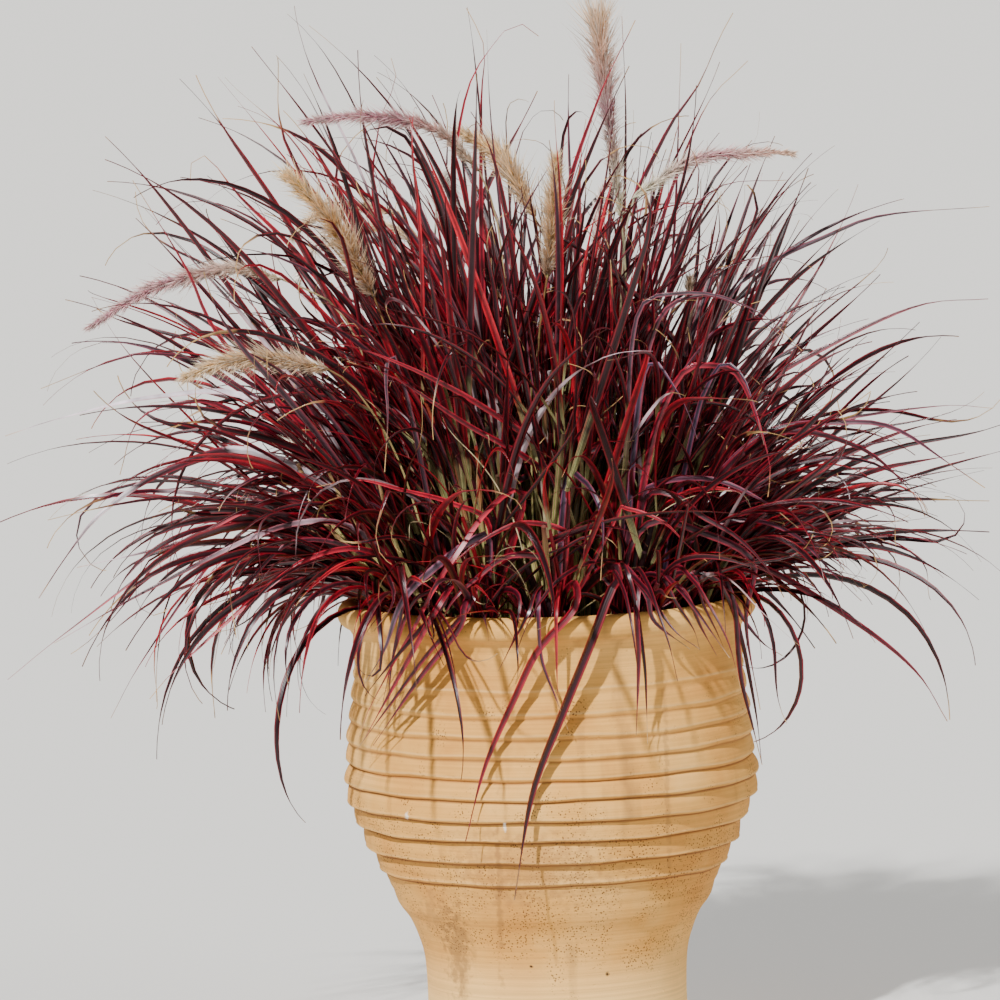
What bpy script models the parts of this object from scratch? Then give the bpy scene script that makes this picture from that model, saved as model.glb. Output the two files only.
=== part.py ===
# Potted fountain grass clump: a ridged terracotta pot, its soil, arching leaf tufts and flower stems.
# Metres, +Z up, origin at the centre of the pot's flat base. The front is towards -Y.

import math
import random

import bpy
import bmesh
from mathutils import Matrix, Vector

MM = 0.001
GAP = 0.3 * MM                    # left between neighbours that touch

# Pot
POT_FACETS = 24
RIM_RADIUS = 213 * MM             # to the middle of the rolled rim
RIM_HEIGHT = 474.3 * MM
RIM_ROLL = 13.7 * MM              # radius of the roll's round section
RIM_POINTS = 6
BASE_THICKNESS = 28 * MM
NECK = ((210.5, 452), (210.5, 414))
# Crest radius, crest height and depth of the undercut below it, in millimetres
RIDGES = (
    (211.7, 410, 1.6),
    (214.8, 385, 3.0),
    (218.0, 362, 3.2),
    (220.8, 340, 4.0),
    (221.6, 317, 4.4),
    (225.1, 295, 5.4),
    (222.7, 271, 8.4),
    (213.0, 248, 9.0),
    (202.9, 223, 9.4),
    (189.0, 198.6, 6.5),
)
UNDERCUT_DROP = 3.2               # how far below its crest an undercut is deepest, in millimetres
# Radius and height of the smooth waist and foot, in millimetres
WAIST = (
    (178.0, 181), (174.9, 176), (169.2, 158.6), (157.6, 142.7), (148.4, 120.7), (142.6, 98),
    (140.6, 60), (141.6, 30), (146.2, 6), (143.5, 0),
)
# Radius and height of the inner wall below the rim, in millimetres
INNER_WALL = ((198, 478), (191.5, 452), (203, 310), (183, 235), (125, 120), (117, 28))

# Soil
SOIL_TOP = 443 * MM
SOIL_EDGE = 436 * MM              # it sinks a little where it meets the wall
SOIL_FLAT_RADIUS = 176 * MM       # flat inside this, so that every stem stands on a level place

# Leaves
BLADE_WIDTH = 12 * MM
BLADE_KEEL = 3.6 * MM
ROOT_WIDTH = 0.4                  # a blade's width where it leaves its foot, as a share of its full width
BLADE_TWIST = 100                 # degrees from root to tip, at most
TUFT_FOOT_RADIUS = 8.5 * MM
TUFT_NECK_RADIUS = 5.5 * MM
TUFT_FOOT_HEIGHT = 30 * MM
ROOT_SPREAD = 5 * MM              # of the outer blades' roots from their tuft's middle
LEFT_REACH = 0.10                 # the clump reaches this share further to the left than it does on average
# Each ring of tufts is nested in the next, as the jets of a fountain are.
# Lean is the angle from upright where a blade leaves its tuft, and droop the angle at its tip.
RINGS = (
    dict(tufts=4, radius=0.040, turn=12, lean=3, droop=26, length=0.585, spread=34, segments=3, bend=1.3),
    dict(tufts=8, radius=0.082, turn=5, lean=12, droop=54, length=0.590, spread=17, segments=3, bend=1.2,
         blades=4),
    dict(tufts=11, radius=0.120, turn=15.5, lean=25, droop=90, length=0.520, spread=12.5, segments=4, bend=1.1,
         sway=9, blades=4),
    dict(tufts=12, radius=0.154, turn=3, lean=33, droop=128, length=0.450, spread=11, segments=5, bend=0.9,
         sway=16, blades=4),
)
# Every second tuft of a ring droops more by the sway, and the others droop less.
# A tuft's blades: sideways place in the spread, added lean, added droop, share of the ring's length
FAN = (
    (-1.00, 2.0, 7, 0.93),
    (-0.45, -3.5, -9, 1.04),
    (0.50, -1.5, -2, 1.00),
    (1.00, 2.5, 9, 0.90),
    (0.05, 1.5, 3, 0.86),
)
# The three outermost tufts at the front hang over the rim. Each blade's points, after its foot:
FRONT_TUFTS = {
    8: (
        ((-0.080, -0.160, 0.520), (-0.095, -0.190, 0.528), (-0.118, -0.217, 0.500), (-0.160, -0.201, 0.443),
         (-0.218, -0.148, 0.353)),
        ((-0.076, -0.185, 0.512), (-0.088, -0.222, 0.505), (-0.101, -0.237, 0.480), (-0.149, -0.213, 0.425),
         (-0.209, -0.168, 0.349)),
        ((-0.050, -0.180, 0.512), (-0.030, -0.220, 0.512), (-0.036, -0.245, 0.475), (-0.052, -0.248, 0.441)),
    ),
    9: (
        ((0.045, -0.175, 0.515), (0.076, -0.205, 0.545), (0.074, -0.234, 0.520), (0.043, -0.262, 0.452),
         (0.013, -0.268, 0.387), (-0.016, -0.272, 0.310), (-0.045, -0.265, 0.188)),
        ((0.020, -0.190, 0.512), (0.028, -0.215, 0.520), (0.024, -0.238, 0.504), (-0.006, -0.258, 0.463),
         (-0.056, -0.270, 0.378), (-0.093, -0.262, 0.251)),
        ((-0.005, -0.185, 0.500), (-0.008, -0.218, 0.514), (-0.010, -0.243, 0.490), (-0.015, -0.248, 0.449),
         (0.012, -0.252, 0.375)),
    ),
    10: (
        ((0.092, -0.165, 0.515), (0.097, -0.202, 0.522), (0.099, -0.230, 0.490), (0.103, -0.243, 0.443),
         (0.097, -0.243, 0.361)),
        ((0.080, -0.160, 0.520), (0.083, -0.197, 0.538), (0.105, -0.220, 0.510), (0.122, -0.230, 0.480),
         (0.162, -0.205, 0.447)),
        ((0.115, -0.155, 0.515), (0.144, -0.188, 0.510), (0.172, -0.184, 0.468), (0.192, -0.172, 0.436)),
    ),
}
FRONT_BLADE_POINTS = 7

# Flower stems
CULM_RADIUS = 1.4                 # in millimetres
CULM_SIDES = 5
CULM_DEPTH = 12 * MM              # below the soil, before it is cut off flat there
# Each route runs from the soil to the spike's tip. Spike is the point where the bristles begin,
# and width is the spike's greatest width over its bristles, in millimetres.
FLOWER_STEMS = (
    dict(spike=3, width=28, route=(
        (0.060, -0.020), (0.088, -0.020, 0.640), (0.095, -0.020, 0.820),
        (0.092, -0.030, 0.896), (0.079, -0.050, 1.025), (0.071, -0.060, 1.125))),
    dict(spike=3, width=18, route=(
        (-0.020, -0.030), (-0.028, -0.028, 0.700), (-0.040, -0.030, 0.887),
        (-0.059, -0.050, 0.953), (-0.106, -0.080, 1.001), (-0.180, -0.120, 1.019), (-0.255, -0.150, 1.015))),
    dict(spike=3, width=29, route=(
        (0.000, 0.030), (0.006, 0.020, 0.680), (0.004, 0.020, 0.850),
        (-0.001, 0.020, 0.900), (-0.036, 0.030, 0.961), (-0.084, 0.030, 0.994))),
    dict(spike=3, width=24, route=(
        (-0.010, -0.064), (-0.012, -0.080, 0.640), (0.000, -0.105, 0.780),
        (0.010, -0.125, 0.842), (0.017, -0.155, 0.911), (0.023, -0.190, 0.981))),
    dict(spike=2, width=28, route=(
        (-0.075, -0.060), (-0.120, -0.075, 0.660),
        (-0.176, -0.100, 0.827), (-0.220, -0.140, 0.913), (-0.269, -0.170, 0.969))),
    dict(spike=3, width=18, route=(
        (-0.116, -0.026), (-0.170, -0.038, 0.690), (-0.212, -0.040, 0.804),
        (-0.275, -0.050, 0.843), (-0.329, -0.060, 0.856), (-0.411, -0.080, 0.839), (-0.493, -0.100, 0.793))),
    dict(spike=3, width=24, route=(
        (-0.100, -0.090), (-0.150, -0.125, 0.640), (-0.195, -0.155, 0.728),
        (-0.226, -0.180, 0.756), (-0.311, -0.220, 0.773), (-0.384, -0.250, 0.755))),
    dict(spike=3, width=16, route=(
        (0.055, -0.036), (0.082, -0.053, 0.720), (0.094, -0.062, 0.870),
        (0.106, -0.066, 0.921), (0.172, -0.070, 0.960), (0.244, -0.070, 0.965), (0.287, -0.070, 0.962))),
    dict(spike=3, width=15, route=(
        (-0.050, 0.060), (-0.085, 0.090, 0.700), (-0.120, 0.120, 0.850),
        (-0.148, 0.140, 0.896), (-0.190, 0.170, 0.903), (-0.243, 0.190, 0.891), (-0.273, 0.200, 0.864))),
    dict(spike=3, width=15, route=(
        (-0.050, 0.090), (-0.080, 0.135, 0.650), (-0.108, 0.190, 0.800),
        (-0.126, 0.220, 0.852), (-0.154, 0.250, 0.872), (-0.190, 0.280, 0.870), (-0.235, 0.305, 0.850))),
    dict(spike=3, width=16, route=(
        (-0.070, 0.100), (-0.120, 0.178, 0.660), (-0.162, 0.245, 0.810),
        (-0.189, 0.285, 0.862), (-0.216, 0.330, 0.874), (-0.257, 0.350, 0.831), (-0.267, 0.350, 0.800))),
    dict(spike=3, width=15, route=(
        (-0.030, 0.080), (-0.070, 0.120, 0.660), (-0.107, 0.165, 0.840),
        (-0.108, 0.180, 0.895), (-0.098, 0.190, 0.936), (-0.089, 0.200, 0.916), (-0.086, 0.200, 0.890))),
    dict(spike=2, width=14, route=(
        (0.040, 0.070), (0.056, 0.105, 0.660), (0.064, 0.125, 0.800), (0.066, 0.138, 0.870), (0.077, 0.145, 0.926))),
    dict(spike=2, width=17, route=(
        (0.080, 0.070), (0.125, 0.120, 0.610), (0.155, 0.150, 0.700), (0.166, 0.166, 0.764), (0.168, 0.185, 0.820))),
    dict(spike=2, width=22, route=(
        (-0.125, -0.038), (-0.172, -0.052, 0.555), (-0.221, -0.067, 0.626), (-0.270, -0.083, 0.668))),
    dict(spike=2, width=13, route=(
        (0.095, 0.063), (0.150, 0.099, 0.640), (0.190, 0.126, 0.775), (0.216, 0.142, 0.830), (0.240, 0.158, 0.872))),
)
STALK_POINTS = 3
SPIKE_POINTS = 6

CLUMP = "potted_fountain_grass_clump"
HELPERS = "shapes_for_cutting_and_joining"


def clear_scene():
    for item in list(bpy.data.objects):
        bpy.data.objects.remove(item, do_unlink=True)


def collection(name):
    made = bpy.data.collections.new(name)
    bpy.context.scene.collection.children.link(made)
    return made


def material(name, colour, roughness):
    made = bpy.data.materials.new(name)
    made.use_nodes = True
    shader = made.node_tree.nodes["Principled BSDF"]
    shader.inputs["Base Color"].default_value = (*colour, 1.0)
    shader.inputs["Roughness"].default_value = roughness
    shader.inputs["Metallic"].default_value = 0.0
    made.diffuse_color = (*colour, 1.0)
    return made


def add_object(name, data, home, finish=None):
    item = bpy.data.objects.new(name, data)
    home.objects.link(item)
    if finish:
        data.materials.append(finish)
    return item


# A closed profile of (radius, height) points turned round Z, from the axis over the outside to the axis.
def turned(name, profile, facets, home, finish):
    mesh = bpy.data.meshes.new(name)
    points = [(radius, 0.0, height) for radius, height in profile]
    edges = [(i, i + 1) for i in range(len(points) - 1)]
    mesh.from_pydata(points, edges, [])
    item = add_object(name, mesh, home, finish)
    screw = item.modifiers.new("turn", "SCREW")
    screw.axis = "Z"
    screw.angle = math.tau
    screw.steps = facets
    screw.render_steps = facets
    screw.use_merge_vertices = True
    screw.merge_threshold = 0.00001
    return item


def rim_arc():
    arc = []
    for i in range(RIM_POINTS):
        angle = math.radians(130 - 210 * i / (RIM_POINTS - 1))
        arc.append((RIM_RADIUS + RIM_ROLL * math.cos(angle), RIM_HEIGHT + RIM_ROLL * math.sin(angle)))
    return arc


def in_metres(points):
    return [(radius * MM, height * MM) for radius, height in points]


def pot_outside():
    line = rim_arc() + in_metres(NECK)
    for radius, height, undercut in RIDGES:
        line.append((radius * MM, height * MM))
        line.append(((radius - undercut) * MM, (height - UNDERCUT_DROP) * MM))
    return line + in_metres(WAIST)


def make_pot(home):
    terracotta = material("buff_terracotta", (0.68, 0.42, 0.19), 0.9)
    inside = list(reversed(in_metres(INNER_WALL)))
    profile = [(0.0, BASE_THICKNESS)] + inside + pot_outside() + [(0.0, 0.0)]
    return turned("pot", profile, POT_FACETS, home, terracotta)


# The radius of the pot's inner wall at a height
def inner_radius(height):
    wall = in_metres(INNER_WALL)
    for (r1, z1), (r2, z2) in zip(wall, wall[1:]):
        if z2 <= height <= z1:
            return r2 + (r1 - r2) * (height - z2) / (z1 - z2)
    return wall[-1][0]


def make_soil(home):
    earth = material("dark_potting_soil", (0.035, 0.022, 0.014), 0.95)
    slack = 2 * GAP
    profile = [(0.0, SOIL_TOP), (SOIL_FLAT_RADIUS, SOIL_TOP), (inner_radius(SOIL_EDGE) - slack, SOIL_EDGE)]
    for radius, height in in_metres(INNER_WALL):
        if BASE_THICKNESS < height < SOIL_EDGE:
            profile.append((radius - slack, height))
    profile.append((inner_radius(BASE_THICKNESS) - slack, BASE_THICKNESS + GAP))
    profile.append((0.0, BASE_THICKNESS + GAP))
    return turned("soil", profile, POT_FACETS, home, earth)


# A flat closed outline that curves take as their section
def section(name, points, home):
    curve = bpy.data.curves.new(name, "CURVE")
    curve.dimensions = "2D"
    line = curve.splines.new("POLY")
    line.points.add(len(points) - 1)
    for point, (x, y) in zip(line.points, points):
        point.co = (x, y, 0.0, 1.0)
    line.use_cyclic_u = True
    item = add_object(name, curve, home)
    item.hide_render = True
    item.display_type = "WIRE"
    return item


# A tapering solid along a line of points, as a mesh. Widths are shares of the section's size,
# and it turns by the twist from its first point to its last.
def along(name, points, widths, shape, home, twist=0.0):
    curve = bpy.data.curves.new(name, "CURVE")
    curve.dimensions = "3D"
    curve.twist_mode = "MINIMUM"
    curve.bevel_mode = "OBJECT"
    curve.bevel_object = shape
    curve.use_fill_caps = True
    line = curve.splines.new("POLY")
    line.points.add(len(points) - 1)
    for i, (point, place, width) in enumerate(zip(line.points, points, widths)):
        point.co = (*place, 1.0)
        point.radius = width
        point.tilt = twist * i / (len(points) - 1)
    guide = add_object(name + "_guide", curve, home)
    bpy.context.view_layer.update()
    mesh = bpy.data.meshes.new_from_object(guide.evaluated_get(bpy.context.evaluated_depsgraph_get()))
    bpy.data.objects.remove(guide, do_unlink=True)
    work = bmesh.new()
    work.from_mesh(mesh)
    bmesh.ops.remove_doubles(work, verts=work.verts, dist=0.00005)
    bmesh.ops.triangulate(work, faces=work.faces)    # twisted faces aren't flat, and a union needs flat ones
    bmesh.ops.recalc_face_normals(work, faces=work.faces)
    work.to_mesh(mesh)
    work.free()
    return mesh


# Evenly spread points of a smooth curve through the points of a route
def smooth_line(route, count):
    ends = [2 * route[0] - route[1]] + route + [2 * route[-1] - route[-2]]
    fine = []
    for i in range(1, len(ends) - 2):
        before, start, end, after = ends[i - 1:i + 3]
        for step in range(12):
            t = step / 12
            fine.append(0.5 * (
                2 * start + (end - before) * t + (2 * before - 5 * start + 4 * end - after) * t * t
                + (3 * start - before - 3 * end + after) * t ** 3))
    fine.append(route[-1])
    lengths = [0.0]
    for a, b in zip(fine, fine[1:]):
        lengths.append(lengths[-1] + (b - a).length)
    spread = []
    for k in range(count):
        goal = lengths[-1] * k / (count - 1)
        i = max(j for j in range(len(lengths) - 1) if lengths[j] <= goal + 1e-9)
        share = (goal - lengths[i]) / (lengths[i + 1] - lengths[i])
        spread.append(fine[i].lerp(fine[i + 1], min(1.0, share)))
    return spread


# Cuts off what lies below a height and closes the cut.
def cut_flat(mesh, height):
    work = bmesh.new()
    work.from_mesh(mesh)
    cut = bmesh.ops.bisect_plane(
        work, geom=work.verts[:] + work.edges[:] + work.faces[:], dist=0.000001,
        plane_co=(0, 0, height), plane_no=(0, 0, 1), clear_inner=True)
    rim = [part for part in cut["geom_cut"] if isinstance(part, bmesh.types.BMEdge)]
    bmesh.ops.contextual_create(work, geom=rim)
    bmesh.ops.recalc_face_normals(work, faces=work.faces)
    work.to_mesh(mesh)
    work.free()


# The points of a blade that leaves its foot at one angle from upright and bends over to another.
def arch(start, azimuth, lean, droop, length, segments, bend):
    way = Vector((math.cos(azimuth), math.sin(azimuth), 0.0))
    points = [start.copy()]
    fine = 12
    place = start.copy()
    for step in range(segments * fine):
        along_it = (step + 0.5) / (segments * fine)
        angle = math.radians(lean + (droop - lean) * along_it ** bend)
        place = place + (way * math.sin(angle) + Vector((0, 0, math.cos(angle)))) * (length / (segments * fine))
        if (step + 1) % fine == 0:
            points.append(place.copy())
    return points


def blade_widths(count):
    widths = []
    for i in range(count):
        t = i / (count - 1)
        widths.append(max(0.001, (ROOT_WIDTH + (1 - ROOT_WIDTH) * min(1.0, t / 0.3)) * (1.0 - t ** 2.2)))
    return widths


# Joins the meshes to the first one, by Boolean union, in one closed body.
def fuse(name, meshes, home, helpers, finish):
    base = add_object(name, meshes[0], home, finish)
    others = [add_object(name + "_blade", mesh, helpers) for mesh in meshes[1:]]
    for other in others:
        join = base.modifiers.new("join", "BOOLEAN")
        join.operation = "UNION"
        join.solver = "EXACT"
        join.object = other
    bpy.context.view_layer.update()
    joined = bpy.data.meshes.new_from_object(base.evaluated_get(bpy.context.evaluated_depsgraph_get()))
    tidy = bmesh.new()
    tidy.from_mesh(joined)
    bmesh.ops.dissolve_limit(tidy, angle_limit=math.radians(0.2), verts=tidy.verts, edges=tidy.edges)
    tidy.to_mesh(joined)
    tidy.free()
    base.modifiers.clear()
    base.data = joined
    base.data.name = name
    for other in others:
        bpy.data.objects.remove(other, do_unlink=True)
    return base


def tuft_foot(place):
    work = bmesh.new()
    bmesh.ops.create_cone(
        work, cap_ends=True, segments=5, radius1=TUFT_FOOT_RADIUS, radius2=TUFT_NECK_RADIUS,
        depth=TUFT_FOOT_HEIGHT, matrix=Matrix.Translation(place + Vector((0, 0, TUFT_FOOT_HEIGHT / 2))),
    )
    mesh = bpy.data.meshes.new("foot")
    work.to_mesh(mesh)
    work.free()
    return mesh


# The blades of one tuft of a ring, each a list of points
def fan_of_blades(ring, facing, foot, sway, chance):
    reach = 1.0 - LEFT_REACH * math.cos(facing)
    across = Vector((-math.sin(facing), math.cos(facing), 0.0))
    blades = []
    for k, (side, lean, droop, share) in enumerate(FAN[:ring.get("blades", len(FAN))]):
        azimuth = facing + math.radians(ring["spread"]) * side
        start = foot + across * ROOT_SPREAD * side + Vector((0, 0, TUFT_FOOT_HEIGHT * (0.50 + 0.06 * k)))
        length = ring["length"] * share * reach * chance.uniform(0.94, 1.04)
        tip = ring["droop"] + droop + sway + chance.uniform(-4, 4)
        blades.append(arch(start, azimuth, ring["lean"] + lean, tip, length, ring["segments"], ring["bend"]))
    return blades


def front_blades(foot, routes):
    blades = []
    for k, route in enumerate(routes):
        start = foot + Vector((0, 0, TUFT_FOOT_HEIGHT * (0.45 + 0.12 * k)))
        blades.append(smooth_line([start] + [Vector(point) for point in route], FRONT_BLADE_POINTS))
    return blades


# Every tuft as its foot's place and its blades
def all_tufts():
    tufts = []
    chance = random.Random(5)
    for ring in RINGS:
        for i in range(ring["tufts"]):
            facing = math.radians(ring["turn"] + 360 * i / ring["tufts"])
            foot = Vector((math.cos(facing), math.sin(facing), 0)) * ring["radius"]
            foot.z = SOIL_TOP + GAP
            if ring is RINGS[-1] and i in FRONT_TUFTS:
                blades = front_blades(foot, FRONT_TUFTS[i])
            else:
                sway = ring.get("sway", 0) * (1 if i % 2 else -1)
                blades = fan_of_blades(ring, facing, foot, sway, chance)
            tufts.append((foot, blades))
    return tufts


def make_leaves(home, helpers):
    burgundy = material("burgundy_leaf", (0.16, 0.015, 0.03), 0.5)
    half = BLADE_WIDTH / 2
    keel = section("blade_section", ((-half, 0.0), (half, 0.0), (0.0, -BLADE_KEEL)), helpers)
    chance = random.Random(11)
    for number, (foot, blades) in enumerate(all_tufts(), start=1):
        name = "leaf_tuft_%02d" % number
        meshes = [tuft_foot(foot)]
        for points in blades:
            twist = math.radians(chance.uniform(-BLADE_TWIST, BLADE_TWIST))
            meshes.append(along("blade", points, blade_widths(len(points)), keel, helpers, twist))
        fuse(name, meshes, home, helpers, burgundy)
    bpy.data.objects.remove(keel, do_unlink=True)


def make_flower_stem(name, stem, shape, home, helpers, finish):
    foot = Vector((*stem["route"][0], SOIL_TOP - CULM_DEPTH))
    route = [foot] + [Vector(point) for point in stem["route"][1:]]
    start = stem["spike"]
    stalk = smooth_line(route[:start + 1], STALK_POINTS)
    spike = smooth_line(route[start:], SPIKE_POINTS)
    widths = [CULM_RADIUS * MM] * STALK_POINTS
    for i in range(1, SPIKE_POINTS):
        t = i / (SPIKE_POINTS - 1)
        share = min(1.0, 0.55 + 1.8 * t) * (1.0 - 0.86 * max(0.0, (t - 0.35) / 0.65) ** 1.7)
        widths.append(stem["width"] / 2 * MM * share)
    mesh = along(name, stalk + spike[1:], widths, shape, helpers)
    cut_flat(mesh, SOIL_TOP + GAP)
    return add_object(name, mesh, home, finish)


def make_flower_stems(home, helpers):
    tan = material("tan_flower_spike", (0.62, 0.42, 0.25), 0.8)
    ring = [math.tau * i / CULM_SIDES for i in range(CULM_SIDES)]
    shape = section("culm_section", [(math.cos(a), math.sin(a)) for a in ring], helpers)
    for number, stem in enumerate(FLOWER_STEMS, start=1):
        make_flower_stem("flower_stem_%02d" % number, stem, shape, home, helpers, tan)
    bpy.data.objects.remove(shape, do_unlink=True)


def main():
    clear_scene()
    clump = collection(CLUMP)
    helpers = collection(HELPERS)
    make_pot(clump)
    make_soil(clump)
    make_leaves(clump, helpers)
    make_flower_stems(clump, helpers)
    bpy.context.view_layer.update()


main()
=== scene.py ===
# Potted fountain grass clump: the looks of a ridged terracotta pot and its burgundy grass.
# Metres, +Z up, origin at the centre of the pot's flat base. The front is towards -Y.

import math

import bmesh
import bpy
import numpy as np
from mathutils import Matrix, Quaternion, Vector


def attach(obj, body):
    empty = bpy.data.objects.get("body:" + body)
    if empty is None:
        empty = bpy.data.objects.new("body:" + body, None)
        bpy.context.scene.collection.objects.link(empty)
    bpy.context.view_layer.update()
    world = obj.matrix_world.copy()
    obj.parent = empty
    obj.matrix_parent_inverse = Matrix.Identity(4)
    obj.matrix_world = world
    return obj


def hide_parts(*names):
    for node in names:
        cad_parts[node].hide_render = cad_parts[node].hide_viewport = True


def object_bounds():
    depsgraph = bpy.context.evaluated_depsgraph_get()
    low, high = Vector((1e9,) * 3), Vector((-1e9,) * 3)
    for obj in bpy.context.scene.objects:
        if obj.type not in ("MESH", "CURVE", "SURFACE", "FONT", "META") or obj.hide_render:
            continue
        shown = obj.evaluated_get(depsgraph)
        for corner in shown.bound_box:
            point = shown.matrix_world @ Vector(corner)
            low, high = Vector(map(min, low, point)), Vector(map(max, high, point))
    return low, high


mm = 0.001
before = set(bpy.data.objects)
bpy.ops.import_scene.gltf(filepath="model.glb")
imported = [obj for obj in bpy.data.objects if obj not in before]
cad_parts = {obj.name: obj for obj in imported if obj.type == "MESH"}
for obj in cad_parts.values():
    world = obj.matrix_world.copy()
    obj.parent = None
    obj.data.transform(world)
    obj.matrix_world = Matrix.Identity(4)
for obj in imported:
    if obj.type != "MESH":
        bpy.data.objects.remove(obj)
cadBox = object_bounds()
body = "root"

# Camera, light and floor

camera = {
    "distance": 10.0,
    "elevation": 5.7,              # degrees above the horizon, read from the ellipse of the rim
    "lens": 333,
    "target": (-0.047, 0.0, 0.593),
    "roll": -1.65,
}
light = {
    "keyAzimuth": -25,             # degrees to the left of the camera
    "keyElevation": 39,            # from the width of the rim's own shadow
    "keyAngle": 1.8,               # a soft disc, so the leaves' shadows on the pot have soft edges
    "keyStrength": 6.1,
    "fillAzimuth": 60,
    "fillElevation": 25,
    "fillStrength": 1.1,
    "backAzimuth": -150,           # a weak light from behind, which silvers the tops of the arching blades
    "backElevation": 48,
    "backStrength": 2.4,
    "skyColour": "E9EAEC",
    "skyStrength": 0.22,
    "floorColour": "D3D1CC",
    "floorRadius": 60.0,
}


# sRGB hex to the linear values that Blender's sockets take
def linear(hexColour):
    values = [int(hexColour[i:i + 2], 16) / 255 for i in (0, 2, 4)]
    return [v / 12.92 if v <= 0.04045 else ((v + 0.055) / 1.055) ** 2.4 for v in values]


def awayFrom(azimuth, elevation):
    a, e = math.radians(azimuth), math.radians(elevation)
    return Vector((math.sin(a) * math.cos(e), -math.cos(a) * math.cos(e), math.sin(e)))


def addSun(name, azimuth, elevation, strength, angle):
    data = bpy.data.lights.new(name, "SUN")
    data.energy = strength
    data.angle = math.radians(angle)
    sun = bpy.data.objects.new(name, data)
    sun.rotation_mode = "QUATERNION"
    sun.rotation_quaternion = (-awayFrom(azimuth, elevation)).to_track_quat("-Z", "Y")
    bpy.context.scene.collection.objects.link(sun)


def makeStudio():
    data = bpy.data.cameras.new("camera")
    data.lens = camera["lens"]
    data.sensor_width = 36
    data.clip_end = 200
    eye = bpy.data.objects.new("camera", data)
    back = awayFrom(0, camera["elevation"])
    eye.location = Vector(camera["target"]) + back * camera["distance"]
    eye.rotation_mode = "QUATERNION"
    level = (-back).to_track_quat("-Z", "Y")
    eye.rotation_quaternion = level @ Quaternion((0, 0, 1), math.radians(camera["roll"]))
    bpy.context.scene.collection.objects.link(eye)
    bpy.context.scene.camera = eye

    addSun("keyLight", light["keyAzimuth"], light["keyElevation"], light["keyStrength"], light["keyAngle"])
    addSun("fillLight", light["fillAzimuth"], light["fillElevation"], light["fillStrength"], 40)
    addSun("backLight", light["backAzimuth"], light["backElevation"], light["backStrength"], 12)
    world = bpy.data.worlds.new("paleStudio")
    world.use_nodes = True
    background = world.node_tree.nodes["Background"]
    background.inputs["Color"].default_value = (*linear(light["skyColour"]), 1)
    background.inputs["Strength"].default_value = light["skyStrength"]
    bpy.context.scene.world = world

    bm = bmesh.new()
    bmesh.ops.create_circle(bm, cap_ends=True, segments=96, radius=light["floorRadius"])
    mesh = bpy.data.meshes.new("floor")
    bm.to_mesh(mesh)
    bm.free()
    floor = bpy.data.objects.new("floor", mesh)
    bpy.context.scene.collection.objects.link(floor)
    paint = bpy.data.materials.new("paleFloor")
    paint.use_nodes = True
    shader = paint.node_tree.nodes["Principled BSDF"]
    shader.inputs["Base Color"].default_value = (*linear(light["floorColour"]), 1)
    shader.inputs["Roughness"].default_value = 0.9
    mesh.materials.append(paint)


# Materials

# Adds a node. Inputs are plain values, or sockets that are linked to it.
def addNode(tree, kind, inputs=None, stops=None, **settings):
    node = tree.nodes.new("ShaderNode" + kind)
    for name, value in settings.items():
        setattr(node, name, value)
    for socket, value in (inputs or {}).items():
        if isinstance(value, bpy.types.NodeSocket):
            tree.links.new(value, node.inputs[socket])
        else:
            node.inputs[socket].default_value = value
    if stops:
        while len(node.color_ramp.elements) < len(stops):
            node.color_ramp.elements.new(0.5)
        for element, (place, colour) in zip(node.color_ramp.elements, stops):
            element.position = place
            element.color = (*linear(colour), 1) if isinstance(colour, str) else (colour, colour, colour, 1)
    return node


def newMaterial(name, roughness, ior=1.5):
    made = bpy.data.materials.new(name)
    made.use_nodes = True
    shader = made.node_tree.nodes["Principled BSDF"]
    shader.inputs["Roughness"].default_value = roughness
    shader.inputs["IOR"].default_value = ior
    return made, made.node_tree, shader


# Buff earthenware, thrown on a wheel and fired unglazed: matt and sandy, with fine turning lines,
# iron specks, paler crests that are partly worn and partly a painted highlight, painted shade under the crests
# and under the belly, and brown rain marks low down
earthenware = {
    "clay": ("C88A3E", "D99F4E", "E6B264"),
    # The crest colour is partly wear and partly a painted highlight; the groove colour is painted shade under the
    # crests
    "crest": "F2CA86",
    "foot": "FFD488",
    "grooveShade": "7A4A26",
    "speck": "3A2014",
    "stain": "6E4C30",
    "sandSize": 1.1,               # millimetres, drawn coarser than the real 0.3 so that it shows
    "turningLine": 2.2,            # millimetres between turning lines
    "speckSize": 3.0,
    # Marks by name: where each is and how far it reaches along X, Y and Z, in millimetres, its colour and strength
    "marks": {
        "lowStain": ((-106, -99, 122), (15, 60, 62), "6A4A30", 0.5),
        "leftStain": ((-124, -95, 158), (26, 60, 30), "7A5636", 0.3),
        # a long thin darker streak down the front left
        "longDarkStreak": ((-60, -170, 190), (4.5, 120, 110), "7A5230", 0.42),
        "rightRun": ((122, -190, 300), (3.5, 120, 150), "86603A", 0.38),
        # a band of painted shade on the front, under the belly
        "shadeUnderBelly": ((-30, -200, 215), (105, 120, 48), "9A6A3E", 0.40),
        "leftChip": ((-156, -160, 272), (2.2, 60, 7), "F4EADA", 0.9),
        "middleScratch": ((-52, -215, 266), (1.8, 60, 6), "F4EADA", 0.9),
        "wetPit": ((53, -135, 92), (2.6, 60, 2.6), "2E1C12", 1.0),
        "smallPit": ((-28, -135, 104), (1.8, 60, 1.8), "3A2418", 1.0),
    },
}


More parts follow.
